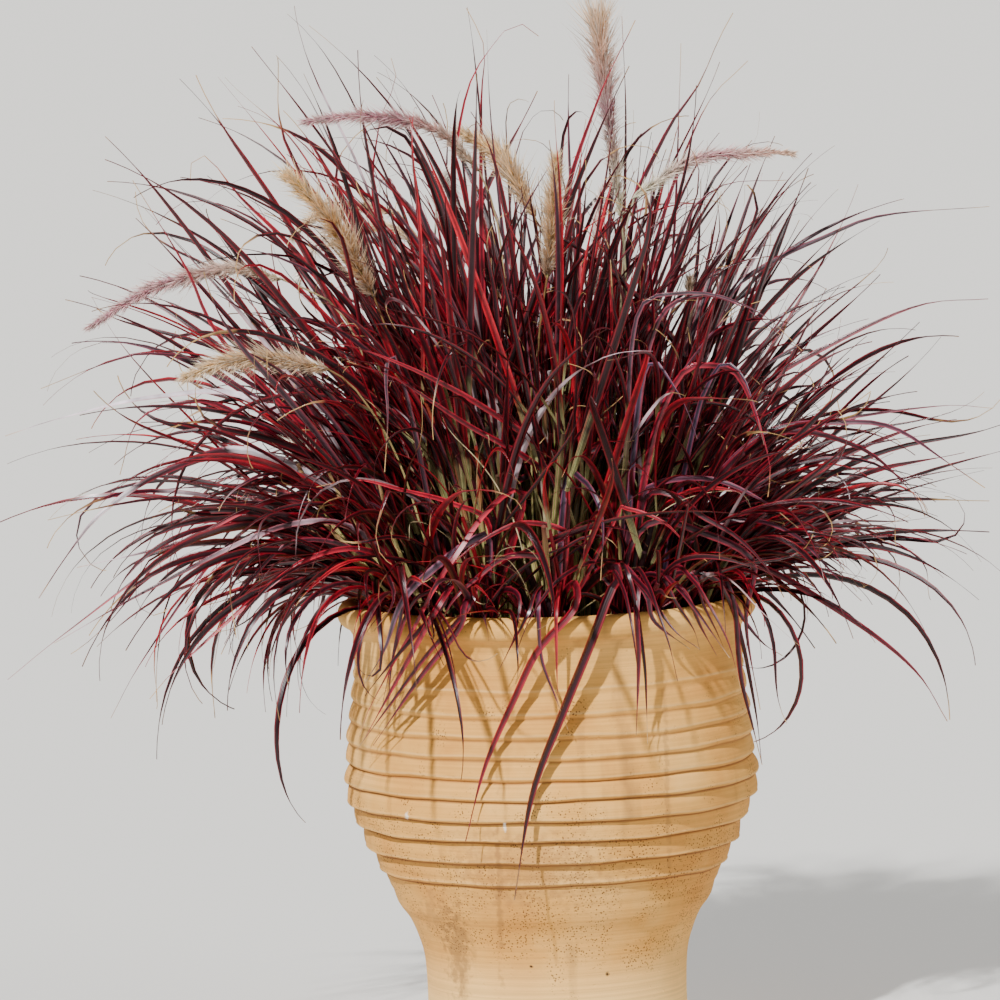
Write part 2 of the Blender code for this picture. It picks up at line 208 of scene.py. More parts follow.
def terracottaMaterial():
    made, tree, shader = newMaterial("unglazedTerracotta", 0.86)
    shader.inputs["Specular IOR Level"].default_value = 0.25
    place = addNode(tree, "TexCoord").outputs["Object"]
    ledge = addNode(tree, "Attribute", attribute_name="ledge").outputs["Fac"]
    height = addNode(tree, "SeparateXYZ", {0: place}).outputs["Z"]

    # Broad patches of the clay's colour
    patches = addNode(tree, "TexNoise", {"Vector": place, "Scale": 7.0, "Detail": 5.0, "Roughness": 0.55})
    clay = addNode(tree, "ValToRGB", {0: patches.outputs["Fac"]}, stops=(
        (0.34, earthenware["clay"][0]), (0.5, earthenware["clay"][1]), (0.68, earthenware["clay"][2])))

    # Turning lines run round the pot: a noise squeezed along Z
    squeezed = addNode(tree, "Mapping", {"Vector": place, "Scale": (3.0, 3.0, 1 / (earthenware["turningLine"] * mm))})
    lines = addNode(tree, "TexNoise", {"Vector": squeezed.outputs[0], "Scale": 1.0, "Detail": 3.0})
    lineTone = addNode(tree, "MapRange", {0: lines.outputs["Fac"], 1: 0.3, 2: 0.7, 3: 0.88, 4: 1.08})
    footShare = addNode(tree, "MapRange", {0: height, 1: 0.115, 2: 0.05, 3: 0.0, 4: 0.7}).outputs[0]
    footed = addNode(tree, "Mix", {0: footShare, 6: clay.outputs[0], 7: (*linear(earthenware["foot"]), 1)},
                     data_type="RGBA")
    lined = addNode(tree, "Mix", {0: 1.0, 6: footed.outputs[2], 7: lineTone.outputs[0]},
                    data_type="RGBA", blend_type="MULTIPLY")

    # Crests are paler, partly worn clay and partly a painted highlight, and the undercuts below them carry painted
    # shade
    crestShare = addNode(tree, "MapRange", {0: ledge, 1: 0.6, 2: 1.0, 3: 0.0, 4: 0.35}).outputs[0]
    crested = addNode(tree, "Mix", {0: crestShare, 6: lined.outputs[2], 7: (*linear(earthenware["crest"]), 1)},
                      data_type="RGBA")
    grooveShadeShare = addNode(tree, "MapRange", {0: ledge, 1: -0.3, 2: -0.9, 3: 0.0, 4: 0.85}).outputs[0]
    grooveShaded = addNode(tree, "Mix", {0: grooveShadeShare, 6: crested.outputs[2], 7: (*linear(earthenware["grooveShade"]), 1)},
                      data_type="RGBA")

    # Iron specks, thickest below the belly and few on the foot
    speckCells = addNode(tree, "TexVoronoi", {"Vector": place, "Scale": 1 / (earthenware["speckSize"] * mm),
                                               "Randomness": 1.0})
    speckDot = addNode(tree, "MapRange", {0: speckCells.outputs["Distance"], 1: 0.18, 2: 0.34, 3: 1.0, 4: 0.0})
    speckPatch = addNode(tree, "TexNoise", {"Vector": place, "Scale": 24.0, "Detail": 3.0})
    speckOff = addNode(tree, "Math", {0: height, 1: 0.185}, operation="SUBTRACT")
    speckAway = addNode(tree, "Math", {0: speckOff.outputs[0]}, operation="ABSOLUTE")
    speckLow = addNode(tree, "MapRange", {0: speckAway.outputs[0], 1: 0.04, 2: 0.13, 3: 0.15, 4: -0.04})
    speckReach = addNode(tree, "Math", {0: speckPatch.outputs["Fac"], 1: speckLow.outputs[0]}, operation="ADD")
    speckHere = addNode(tree, "MapRange", {0: speckReach.outputs[0], 1: 0.56, 2: 0.66, 3: 0.0, 4: 0.95})
    speckShare = addNode(tree, "Math", {0: speckDot.outputs[0], 1: speckHere.outputs[0]}, operation="MULTIPLY")
    specked = addNode(tree, "Mix", {0: speckShare.outputs[0], 6: grooveShaded.outputs[2],
                                    7: (*linear(earthenware["speck"]), 1)}, data_type="RGBA")

    # Rain marks run down: a noise stretched along Z
    stretched = addNode(tree, "Mapping", {"Vector": place, "Scale": (26.0, 26.0, 1.6)})
    runs = addNode(tree, "TexNoise", {"Vector": stretched.outputs[0], "Scale": 1.0, "Detail": 4.0})
    runShare = addNode(tree, "MapRange", {0: runs.outputs["Fac"], 1: 0.62, 2: 0.78, 3: 0.0, 4: 0.45})
    stained = addNode(tree, "Mix", {0: runShare.outputs[0], 6: specked.outputs[2],
                                    7: (*linear(earthenware["stain"]), 1)}, data_type="RGBA")

    # Single stains, drips, scratches and pits, a painted shade band under the belly and a long darker streak
    colour = stained.outputs[2]
    ragged = addNode(tree, "TexNoise", {"Vector": place, "Scale": 130.0, "Detail": 4.0})
    fray = addNode(tree, "MapRange", {0: ragged.outputs["Fac"], 1: 0.35, 2: 0.65, 3: -0.45, 4: 0.45}).outputs[0]
    for centre, reach, tone, strength in earthenware["marks"].values():
        offset = addNode(tree, "VectorMath", {0: place, 1: [v * mm for v in centre]}, operation="SUBTRACT")
        scaled = addNode(tree, "VectorMath", {0: offset.outputs[0], 1: [v * mm for v in reach]}, operation="DIVIDE")
        far = addNode(tree, "VectorMath", {0: scaled.outputs[0]}, operation="LENGTH").outputs["Value"]
        frayed = addNode(tree, "Math", {0: far, 1: fray}, operation="ADD")
        share = addNode(tree, "MapRange", {0: frayed.outputs[0], 1: 0.35, 2: 1.05, 3: strength, 4: 0.0})
        colour = addNode(tree, "Mix", {0: share.outputs[0], 6: colour, 7: (*linear(tone), 1)},
                         data_type="RGBA").outputs[2]
    tree.links.new(colour, shader.inputs["Base Color"])

    # Sandy grain, turning lines and small pits
    grain = addNode(tree, "TexNoise", {"Vector": place, "Scale": 1 / (earthenware["sandSize"] * mm), "Detail": 2.0})
    grainBump = addNode(tree, "Bump", {"Height": grain.outputs["Fac"], "Strength": 0.35, "Distance": 0.4 * mm})
    lineBump = addNode(tree, "Bump", {"Height": lines.outputs["Fac"], "Strength": 0.5, "Distance": 0.8 * mm,
                                      "Normal": grainBump.outputs[0]})
    pitCells = addNode(tree, "TexVoronoi", {"Vector": place, "Scale": 90.0})
    pits = addNode(tree, "MapRange", {0: pitCells.outputs["Distance"], 1: 0.05, 2: 0.16, 3: 0.0, 4: 1.0})
    pitBump = addNode(tree, "Bump", {"Height": pits.outputs[0], "Strength": 0.6, "Distance": 0.7 * mm,
                                     "Normal": lineBump.outputs[0]})
    tree.links.new(pitBump.outputs[0], shader.inputs["Normal"])
    return made


# Peat-based potting soil: dull, dark and crumbly, with paler dry fibres
earth = {"dark": "1B130D", "middle": "2E2117", "dry": "5A4632"}


def soilMaterial():
    made, tree, shader = newMaterial("peatyPottingSoil", 0.95)
    shader.inputs["Specular IOR Level"].default_value = 0.1
    place = addNode(tree, "TexCoord").outputs["Object"]
    clods = addNode(tree, "TexNoise", {"Vector": place, "Scale": 160.0, "Detail": 6.0, "Roughness": 0.7})
    ramp = addNode(tree, "ValToRGB", {0: clods.outputs["Fac"]}, stops=(
        (0.35, earth["dark"]), (0.55, earth["middle"]), (0.75, earth["dry"])))
    tree.links.new(ramp.outputs[0], shader.inputs["Base Color"])
    bump = addNode(tree, "Bump", {"Height": clods.outputs["Fac"], "Strength": 0.9, "Distance": 3 * mm})
    tree.links.new(bump.outputs[0], shader.inputs["Normal"])
    return made


# Living grass blade: a waxy skin over fine lengthwise veins, glossy where the sun strikes it.
# The margins are pinker than the middle, a painted glow of light shining through the thin edges, and the middle
# is darkened partly by painted shade along the channel. Pale blades carry painted silvery highlights in stretches,
# the blades have painted shade low in the clump, the foot is green and cream, and the tip dries to tan.
# margin is a painted glow of light through the blade's edges; the vein colour also paints shade down the middle
bladeFinish = {"edgeGlow": "C81E30", "veinAndShade": "1C040A", "foot": "66723A", "footStripe": "CFC68E", "dry": "BC9660",
               "maroon": "4A1624", "sheenStretches": 9.0, "footShade": 0.3}


def leafMaterial():
    made, tree, shader = newMaterial("waxyGrassBlade", 0.33, 1.45)
    shader.inputs["Coat Weight"].default_value = 0.2
    shader.inputs["Coat Roughness"].default_value = 0.2
    shader.inputs["Specular IOR Level"].default_value = 0.38
    tint = addNode(tree, "Attribute", attribute_name="tint").outputs["Color"]
    along = addNode(tree, "Attribute", attribute_name="along").outputs["Fac"]
    across = addNode(tree, "Attribute", attribute_name="across").outputs["Fac"]
    green = addNode(tree, "Attribute", attribute_name="green").outputs["Fac"]
    dry = addNode(tree, "Attribute", attribute_name="dry").outputs["Fac"]
    place = addNode(tree, "TexCoord").outputs["Object"]

    # Mottling on the scale of a few centimetres
    patches = addNode(tree, "TexNoise", {"Vector": place, "Scale": 34.0, "Detail": 3.0})
    patchTone = addNode(tree, "MapRange", {0: patches.outputs["Fac"], 1: 0.3, 2: 0.7, 3: 0.5, 4: 1.6})

    # Pale-tinted blades carry a painted silvery highlight in stretches only, and are dark maroon between them
    bright = addNode(tree, "RGBToBW", {0: tint}).outputs[0]
    sheenTintShare = addNode(tree, "MapRange", {0: bright, 1: 0.12, 2: 0.3, 3: 0.0, 4: 1.0})
    sheenStretches = addNode(tree, "TexNoise", {"Vector": place, "Scale": bladeFinish["sheenStretches"], "Detail": 1.0})
    maroon = addNode(tree, "MapRange", {0: sheenStretches.outputs["Fac"], 1: 0.46, 2: 0.56, 3: 1.0, 4: 0.0})
    maroonShare = addNode(tree, "Math", {0: sheenTintShare.outputs[0], 1: maroon.outputs[0]}, operation="MULTIPLY")
    ground = addNode(tree, "Mix", {0: maroonShare.outputs[0], 6: tint, 7: (*linear(bladeFinish["maroon"]), 1)},
                     data_type="RGBA")
    patchy = addNode(tree, "Mix", {0: 1.0, 6: ground.outputs[2], 7: patchTone.outputs[0]},
                     data_type="RGBA", blend_type="MULTIPLY")

    # Painted shade: the blades are darker low down in the clump
    footPaintedShade = addNode(tree, "MapRange", {0: along, 1: 0.0, 2: 0.5, 3: bladeFinish["footShade"], 4: 1.0})
    mottled = addNode(tree, "Mix", {0: 1.0, 6: patchy.outputs[2], 7: footPaintedShade.outputs[0]},
                      data_type="RGBA", blend_type="MULTIPLY")

    # Veins run the blade's whole length, drawn six to a blade where the real one has about twenty
    veinWave = addNode(tree, "Math", {0: across, 1: 19.0}, operation="MULTIPLY")
    veinLine = addNode(tree, "Math", {0: veinWave.outputs[0]}, operation="SINE")
    side = addNode(tree, "Math", {0: across}, operation="ABSOLUTE").outputs[0]
    # Painted shade: the middle of the blade, down its channel, is darkened towards the vein colour
    middle = addNode(tree, "MapRange", {0: side, 1: 0.15, 2: 0.62, 3: 0.62, 4: 0.08})
    veinShare = addNode(tree, "MapRange", {0: veinLine.outputs[0], 1: 0.2, 2: 1.0, 3: 0.0, 4: 0.3})
    veinsAndChannelShade = addNode(tree, "Math", {0: veinShare.outputs[0], 1: middle.outputs[0]}, operation="ADD")

    # A painted silvery highlight stretch keeps a pale middle
    paintedSilverShare = addNode(tree, "Math", {0: sheenTintShare.outputs[0], 1: maroonShare.outputs[0]}, operation="SUBTRACT")
    outsideSilverShare = addNode(tree, "MapRange", {0: paintedSilverShare.outputs[0], 1: 0.0, 2: 1.0, 3: 1.0, 4: 0.12})
    veinAndShadeShare = addNode(tree, "Math", {0: veinsAndChannelShade.outputs[0], 1: outsideSilverShare.outputs[0]}, operation="MULTIPLY")
    veinedAndShaded = addNode(tree, "Mix", {0: veinAndShadeShare.outputs[0], 6: mottled.outputs[2],
                                   7: (*linear(bladeFinish["veinAndShade"]), 1)}, data_type="RGBA")

    # The margins take their blade's own red, lightened: a painted glow of light shining through the thin edges
    edgeGlowTone = addNode(tree, "Mix", {0: 0.26, 6: mottled.outputs[2], 7: (*linear(bladeFinish["edgeGlow"]), 1)},
                         data_type="RGBA")
    edgeGlowShare = addNode(tree, "MapRange", {0: side, 1: 0.55, 2: 0.8, 3: 0.0, 4: 1.0})
    edgeGlowed = addNode(tree, "Mix", {0: edgeGlowShare.outputs[0], 6: veinedAndShaded.outputs[2], 7: edgeGlowTone.outputs[2]},
                       data_type="RGBA")

    # Green and cream stripes at the foot of some
    stripe = addNode(tree, "MapRange", {0: veinLine.outputs[0], 1: -0.1, 2: 0.5, 3: 0.0, 4: 1.0})
    footTone = addNode(tree, "Mix", {0: stripe.outputs[0], 6: (*linear(bladeFinish["foot"]), 1),
                                     7: (*linear(bladeFinish["footStripe"]), 1)}, data_type="RGBA")
    footNoise = addNode(tree, "Math", {0: patches.outputs["Fac"], 1: 0.24, 2: along}, operation="MULTIPLY_ADD")
    footShare = addNode(tree, "MapRange", {0: footNoise.outputs[0], 1: 0.34, 2: 0.16, 3: 0.0, 4: 0.85})
    footGreen = addNode(tree, "Math", {0: footShare.outputs[0], 1: green}, operation="MULTIPLY")
    footed = addNode(tree, "Mix", {0: footGreen.outputs[0], 6: edgeGlowed.outputs[2], 7: footTone.outputs[2]},
                     data_type="RGBA")

    # Dry tips, longer on some blades
    tipNoise = addNode(tree, "Math", {0: patches.outputs["Fac"], 1: 0.25, 2: along}, operation="MULTIPLY_ADD")
    tipDry = addNode(tree, "Math", {0: dry, 1: 0.2, 2: tipNoise.outputs[0]}, operation="MULTIPLY_ADD")
    tipShare = addNode(tree, "MapRange", {0: tipDry.outputs[0], 1: 1.12, 2: 1.2, 3: 0.0, 4: 0.9})
    tipped = addNode(tree, "Mix", {0: tipShare.outputs[0], 6: footed.outputs[2],
                                   7: (*linear(bladeFinish["dry"]), 1)}, data_type="RGBA")
    tree.links.new(tipped.outputs[2], shader.inputs["Base Color"])
    bump = addNode(tree, "Bump", {"Height": veinLine.outputs[0], "Strength": 0.3, "Distance": 0.25 * mm})
    tree.links.new(bump.outputs[0], shader.inputs["Normal"])
    return made


# Green culm in its sheath: satin, striped lengthwise with cream and pink
culmFinish = {"green": "768834", "cream": "E2DCA4", "pink": "B04C52"}


def culmMaterial():
    made, tree, shader = newMaterial("stripedGreenCulm", 0.45, 1.45)
    along = addNode(tree, "Attribute", attribute_name="along").outputs["Fac"]
    across = addNode(tree, "Attribute", attribute_name="across").outputs["Fac"]
    tint = addNode(tree, "Attribute", attribute_name="tint").outputs["Color"]
    place = addNode(tree, "TexCoord").outputs["Object"]
    wave = addNode(tree, "Math", {0: across, 1: 9.0}, operation="MULTIPLY")
    line = addNode(tree, "Math", {0: wave.outputs[0]}, operation="SINE")
    stripes = addNode(tree, "ValToRGB", {0: line.outputs[0]}, stops=(
        (0.0, culmFinish["green"]), (0.45, culmFinish["cream"]), (0.9, culmFinish["pink"])))
    patches = addNode(tree, "TexNoise", {"Vector": place, "Scale": 40.0, "Detail": 2.0})
    tone = addNode(tree, "MapRange", {0: patches.outputs["Fac"], 1: 0.3, 2: 0.7, 3: 0.75, 4: 1.35})
    mottled = addNode(tree, "Mix", {0: 1.0, 6: stripes.outputs[0], 7: tone.outputs[0]},
                      data_type="RGBA", blend_type="MULTIPLY")
    green = addNode(tree, "Attribute", attribute_name="green").outputs["Fac"]
    upper = addNode(tree, "MapRange", {0: along, 1: 0.5, 2: 1.0, 3: 0.0, 4: 0.9})
    notGreen = addNode(tree, "Math", {0: 1.0, 1: green}, operation="SUBTRACT")
    redShare = addNode(tree, "Math", {0: upper.outputs[0], 1: notGreen.outputs[0]}, operation="MAXIMUM")
    coloured = addNode(tree, "Mix", {0: redShare.outputs[0], 6: mottled.outputs[2], 7: tint}, data_type="RGBA")
    tree.links.new(coloured.outputs[2], shader.inputs["Base Color"])
    bump = addNode(tree, "Bump", {"Height": line.outputs[0], "Strength": 0.3, "Distance": 0.3 * mm})
    tree.links.new(bump.outputs[0], shader.inputs["Normal"])
    return made


# Dead grass: papery and dull, bleached to straw
def strawMaterial():
    made, tree, shader = newMaterial("paperyDryStraw", 0.75)
    tint = addNode(tree, "Attribute", attribute_name="tint").outputs["Color"]
    across = addNode(tree, "Attribute", attribute_name="across").outputs["Fac"]
    place = addNode(tree, "TexCoord").outputs["Object"]
    patches = addNode(tree, "TexNoise", {"Vector": place, "Scale": 70.0, "Detail": 3.0})
    tone = addNode(tree, "MapRange", {0: patches.outputs["Fac"], 1: 0.3, 2: 0.7, 3: 0.55, 4: 1.2})
    mottled = addNode(tree, "Mix", {0: 1.0, 6: tint, 7: tone.outputs[0]}, data_type="RGBA", blend_type="MULTIPLY")
    tree.links.new(mottled.outputs[2], shader.inputs["Base Color"])
    wave = addNode(tree, "Math", {0: across, 1: 14.0}, operation="MULTIPLY")
    line = addNode(tree, "Math", {0: wave.outputs[0]}, operation="SINE")
    bump = addNode(tree, "Bump", {"Height": line.outputs[0], "Strength": 0.3, "Distance": 0.2 * mm})
    tree.links.new(bump.outputs[0], shader.inputs["Normal"])
    return made


# Flower bristles: soft translucent hairs, palest at their tips
def bristleMaterial():
    made, tree, shader = newMaterial("silkyBristle", 0.6)
    shader.inputs["Sheen Weight"].default_value = 0.3
    shader.inputs["Sheen Roughness"].default_value = 0.4
    tint = addNode(tree, "Attribute", attribute_name="tint").outputs["Color"]
    along = addNode(tree, "Attribute", attribute_name="along").outputs["Fac"]
    paler = addNode(tree, "MapRange", {0: along, 1: 0.2, 2: 1.0, 3: 0.0, 4: 0.5})
    hair = addNode(tree, "Mix", {0: paler.outputs[0], 6: tint, 7: (*linear("FBEFD8"), 1)}, data_type="RGBA")
    tree.links.new(hair.outputs[2], shader.inputs["Base Color"])
    return made


# Joined meshes from arrays

# The points and faces of a small bmesh, to be copied many times
def asArrays(bm):
    bm.verts.index_update()
    points = np.array([vert.co[:] for vert in bm.verts])
    faces = [[vert.index for vert in face.verts] for face in bm.faces]
    bm.free()
    return points, faces


# A four-sided prism from 0 to 1 along Z, cut into stations
def prism(sides, stations):
    bm = bmesh.new()
    bmesh.ops.create_cone(bm, cap_ends=True, segments=sides, radius1=1, radius2=1, depth=1,
                          matrix=Matrix.Translation((0, 0, 0.5)))
    for i in range(1, stations):
        bmesh.ops.bisect_plane(bm, geom=bm.verts[:] + bm.edges[:] + bm.faces[:],
                               plane_co=(0, 0, i / stations), plane_no=(0, 0, 1))
    bmesh.ops.recalc_face_normals(bm, faces=bm.faces)
    return asArrays(bm)


# Places a shape's sections along many centre lines. Side is roughly the way across each one, size is the section's
# half width at each station, and turn is its twist there.
def sweep(shape, centres, side, size, turn):
    points, faces = shape
    stations = centres.shape[1] - 1
    station = np.rint(points[:, 2] * stations).astype(int)
    ahead = np.gradient(centres, axis=1)
    ahead /= np.linalg.norm(ahead, axis=2, keepdims=True)
    side = side - (side * ahead).sum(axis=2, keepdims=True) * ahead
    side /= np.linalg.norm(side, axis=2, keepdims=True)
    up = np.cross(ahead, side)
    c, s = np.cos(turn)[..., None], np.sin(turn)[..., None]
    side, up = side * c + up * s, up * c - side * s
    wide = (points[:, 0] * size[:, station])[..., None]
    deep = (points[:, 1] * size[:, station])[..., None]
    return centres[:, station] + side[:, station] * wide + up[:, station] * deep


# The level way across blades that lean to an azimuth
def levelAcross(azimuth):
    return np.stack([-np.sin(azimuth), np.cos(azimuth), np.zeros_like(azimuth)], axis=1)[:, None, :]


# Puts a shape at many places, turned so that its Z runs along a direction
def scatter(shape, places, directions, widths, lengths, spins):
    points, faces = shape
    ahead = directions / np.linalg.norm(directions, axis=1, keepdims=True)
    helper = np.where(np.abs(ahead[:, 2:3]) < 0.9, (0.0, 0.0, 1.0), (1.0, 0.0, 0.0))
    side = np.cross(helper, ahead)
    side /= np.linalg.norm(side, axis=1, keepdims=True)
    up = np.cross(ahead, side)
    c, s = np.cos(spins)[:, None], np.sin(spins)[:, None]
    side, up = side * c + up * s, up * c - side * s
    return (places[:, None]
            + side[:, None] * (points[None, :, 0:1] * widths[:, None, None])
            + up[:, None] * (points[None, :, 1:2] * widths[:, None, None])
            + ahead[:, None] * (points[None, :, 2:3] * lengths[:, None, None]))


# Joins parts in one mesh object. Each part is a dictionary: points (copies, verts, 3), faces, finish,
# and tint, along, across, green and dry, which its material reads.
def joinParts(name, parts, finishes, sharp=26):
    places, corners, starts, slots = [], [], [], []
    traits = {"tint": [], "along": [], "across": [], "green": [], "dry": []}
    base, loop = 0, 0
    for part in parts:
        copies, verts = part["points"].shape[:2]
        sizes = np.array([len(face) for face in part["faces"]])
        flat = np.concatenate([np.array(face) for face in part["faces"]])
        corners.append((flat[None] + np.arange(copies)[:, None] * verts + base).ravel())
        ends = np.cumsum(np.tile(sizes, copies))
        starts.append(np.concatenate([[0], ends[:-1]]) + loop)
        slots.append(np.full(len(ends), part["finish"]))
        places.append(part["points"].reshape(-1, 3))
        traits["tint"].append(np.broadcast_to(part["tint"], (copies, verts, 3)).reshape(-1, 3))
        for key in ("along", "across", "green", "dry"):
            traits[key].append(np.broadcast_to(part.get(key, 0.0), (copies, verts)).ravel())
        base += copies * verts
        loop += int(ends[-1])
    mesh = bpy.data.meshes.new(name)
    mesh.vertices.add(base)
    mesh.vertices.foreach_set("co", np.concatenate(places).ravel())
    mesh.loops.add(loop)
    mesh.loops.foreach_set("vertex_index", np.concatenate(corners))
    starts = np.concatenate(starts)
    mesh.polygons.add(len(starts))
    mesh.polygons.foreach_set("loop_start", starts)
    mesh.update(calc_edges=True)
    mesh.polygons.foreach_set("material_index", np.concatenate(slots))
    mesh.polygons.foreach_set("use_smooth", np.ones(len(starts), bool))
    tint = mesh.attributes.new("tint", "FLOAT_COLOR", "POINT")
    colours = np.concatenate(traits["tint"])
    tint.data.foreach_set("color", np.concatenate([colours, np.ones((len(colours), 1))], axis=1).ravel())
    for key in ("along", "across", "green", "dry"):
        mesh.attributes.new(key, "FLOAT", "POINT").data.foreach_set("value", np.concatenate(traits[key]))
    mesh.set_sharp_from_angle(angle=math.radians(sharp))
    for finish in finishes:
        mesh.materials.append(finish)
    return addPiece(name, mesh)


def addPiece(name, mesh):
    piece = bpy.data.objects.new(name, mesh)
    bpy.context.scene.collection.objects.link(piece)
    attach(piece, body)
    return piece


# Points of a smooth curve through the points of a route, at shares of its length
def smoothRoute(route, shares):
    route = np.array(route, float)
    ends = np.concatenate([[2 * route[0] - route[1]], route, [2 * route[-1] - route[-2]]])
    t = np.linspace(0, 1, 16, endpoint=False)[:, None]
    fine = []
    for before, start, end, after in zip(ends, ends[1:], ends[2:], ends[3:]):
        fine.append(0.5 * (2 * start + (end - before) * t + (2 * before - 5 * start + 4 * end - after) * t * t
                           + (3 * start - before - 3 * end + after) * t ** 3))
    fine = np.concatenate(fine + [route[-1:]])
    lengths = np.concatenate([[0], np.cumsum(np.linalg.norm(np.diff(fine, axis=0), axis=1))])
    goals = np.asarray(shares) * lengths[-1]
    return np.stack([np.interp(goals, lengths, fine[:, k]) for k in range(3)], axis=1)


# Pot

pot = {
    "steps": 288,
    "rimRadius": 213.0,            # millimetres from here on
    "rimHeight": 474.3,
    "rimRoll": 13.7,
    "baseThickness": 28.0,
    "neck": ((210.5, 452), (210.0, 444), (209.6, 432), (210.0, 421), (210.5, 414)),
    # Crest radius, crest height, depth of the undercut below it and how far down that takes
    "ridges": (
        (211.7, 410, 1.7, 6.5), (214.8, 385, 2.8, 6.2), (218.0, 362, 3.2, 6.0), (220.8, 340, 3.8, 5.6),
        (221.6, 317, 4.4, 5.0), (225.1, 295, 5.2, 4.4), (222.7, 271, 8.0, 4.0), (213.0, 248, 8.8, 3.6),
        (202.9, 223, 9.2, 3.6), (189.0, 198.6, 6.5, 4.4),
    ),
    "waist": (
        (178.0, 181), (174.9, 176), (169.2, 158.6), (157.6, 142.7), (148.4, 120.7), (142.6, 98),
        (140.6, 60), (141.6, 30), (146.2, 6), (143.5, 0),
    ),
    "innerWall": ((198, 478), (191.5, 452), (203, 310), (183, 235), (125, 120), (117, 28)),
    "wobble": 1.8,                 # how far the throwing lines wander up and down
    "chip": 1.5,                   # depth of the chips along the crests
}


# The outside line from the rim to the foot: radius, height, and ledge, which is 1 on a crest and -1 under it
def potOutline():
    line = []
    for angle in np.linspace(130, -80, 16):
        a = math.radians(angle)
        line.append((pot["rimRadius"] + pot["rimRoll"] * math.cos(a),
                     pot["rimHeight"] + pot["rimRoll"] * math.sin(a), 0.0))
    line += [(r, z, -0.25 if z > 445 else 0.0) for r, z in pot["neck"]]
    targets = pot["ridges"][1:] + ((*pot["waist"][0], 0, 0),)
    for (r, z, under, drop), (nextR, nextZ, _, _) in zip(pot["ridges"], targets):
        deepR, deepZ = r - under, z - drop
        line.append((r - 0.25, z + 2.0, 0.7))
        line.append((r, z, 1.0))
        line.append((r - under * 0.10, z - drop * 0.25, 0.6))
        # Painted shade in the undercut below each crest, deeper where the undercut is deeper
        undercutShade = -min(under / 5, 1)
        line.append((r - under * 0.50, z - drop * 0.58, undercutShade * 0.4))
        line.append((r - under * 0.90, z - drop * 0.84, undercutShade * 0.9))
        line.append((deepR, deepZ, undercutShade))
        for share in (0.14, 0.34, 0.58, 0.8):
            bulge = math.sin(math.pi * share) * 0.10 * under
            line.append((deepR + (nextR - deepR) * share ** 0.85 + bulge,
                         deepZ + (nextZ + 2.0 - deepZ) * share, -0.3 + 0.6 * share))
    smooth = smoothRoute([(r, 0, z) for r, z in pot["waist"][:-1]], np.linspace(0, 1, 26))
    line += [(r, z, 0.0) for r, _, z in smooth]
    line.append((*pot["waist"][-1], 0.0))
    return line


def makePot(finish):
    inner = [(r, z, 0.0) for r, z in reversed(pot["innerWall"])]
    outline = [(0.0, pot["baseThickness"], 0.0)] + inner + potOutline() + [(0.0, 0.0, 0.0)]
    bm = bmesh.new()
    ledge = bm.verts.layers.float.new("ledge")
    verts = []
    for radius, height, value in outline:
        verts.append(bm.verts.new((radius * mm, 0, height * mm)))
        verts[-1][ledge] = value
    edges = [bm.edges.new(pair) for pair in zip(verts, verts[1:])]
    bmesh.ops.spin(bm, geom=verts + edges, cent=(0, 0, 0), axis=(0, 0, 1), angle=math.tau,
                   steps=pot["steps"], use_merge=True)
    bmesh.ops.remove_doubles(bm, verts=bm.verts, dist=0.00002)
    bmesh.ops.recalc_face_normals(bm, faces=bm.faces)
    mesh = bpy.data.meshes.new("terracottaPot")
    bm.to_mesh(mesh)
    bm.free()
    shapePot(mesh)
    for face in mesh.polygons:
        face.use_smooth = True
    mesh.set_sharp_from_angle(angle=math.radians(55))
    mesh.materials.append(finish)
    piece = addPiece("terracottaPot", mesh)
    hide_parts("pot")


# A hand-thrown pot is never quite round, its ridges wander and their crests are chipped
def shapePot(mesh):
    points = np.empty(len(mesh.vertices) * 3)
    mesh.vertices.foreach_get("co", points)
    points = points.reshape(-1, 3)
    ledge = np.empty(len(mesh.vertices))
    mesh.attributes["ledge"].data.foreach_get("value", ledge)
    radius = np.hypot(points[:, 0], points[:, 1])
    angle = np.arctan2(points[:, 1], points[:, 0])
    height = points[:, 2] / mm
    belly = np.clip((height - 150) / 60, 0, 1) * np.clip((468 - height) / 30, 0, 1)
    wander = (0.45 * np.sin(2 * angle + height * 0.021) + 0.3 * np.sin(5 * angle - height * 0.06)
              + 0.25 * np.sin(9 * angle + height * 0.11) + 0.15 * np.sin(17 * angle - height * 0.19))
    points[:, 2] += wander * pot["wobble"] * mm * belly
    chips = (np.sin(23 * angle + height * 0.9) * np.sin(41 * angle - height * 0.37)
             * np.sin(13 * angle + height * 0.23))
    depth = np.clip((chips - 0.45) / 0.4, 0, 1) * np.clip(ledge, 0, 1) * pot["chip"]
    uneven = (0.45 * np.sin(3 * angle + height * 0.05) + 0.35 * np.sin(7 * angle - height * 0.083)
              + 0.25 * np.sin(15 * angle + height * 0.21))
    shift = (uneven * belly - depth) * mm
    scale = np.where(radius > 0.05, 1 + shift / np.maximum(radius, 0.05), 1.0)
    points[:, 0] *= scale
    points[:, 1] *= scale
    mesh.vertices.foreach_set("co", points.ravel())
    mesh.update()


# Soil

soil = {
    "top": 443.0,                  # millimetres
    "edge": 436.0,
    "flatRadius": 176.0,
    "wallGap": 0.6,
    "steps": 128,
    "lumps": 2.6,
    "crumbs": 900,
    "crumbSize": (1.2, 3.6),
}


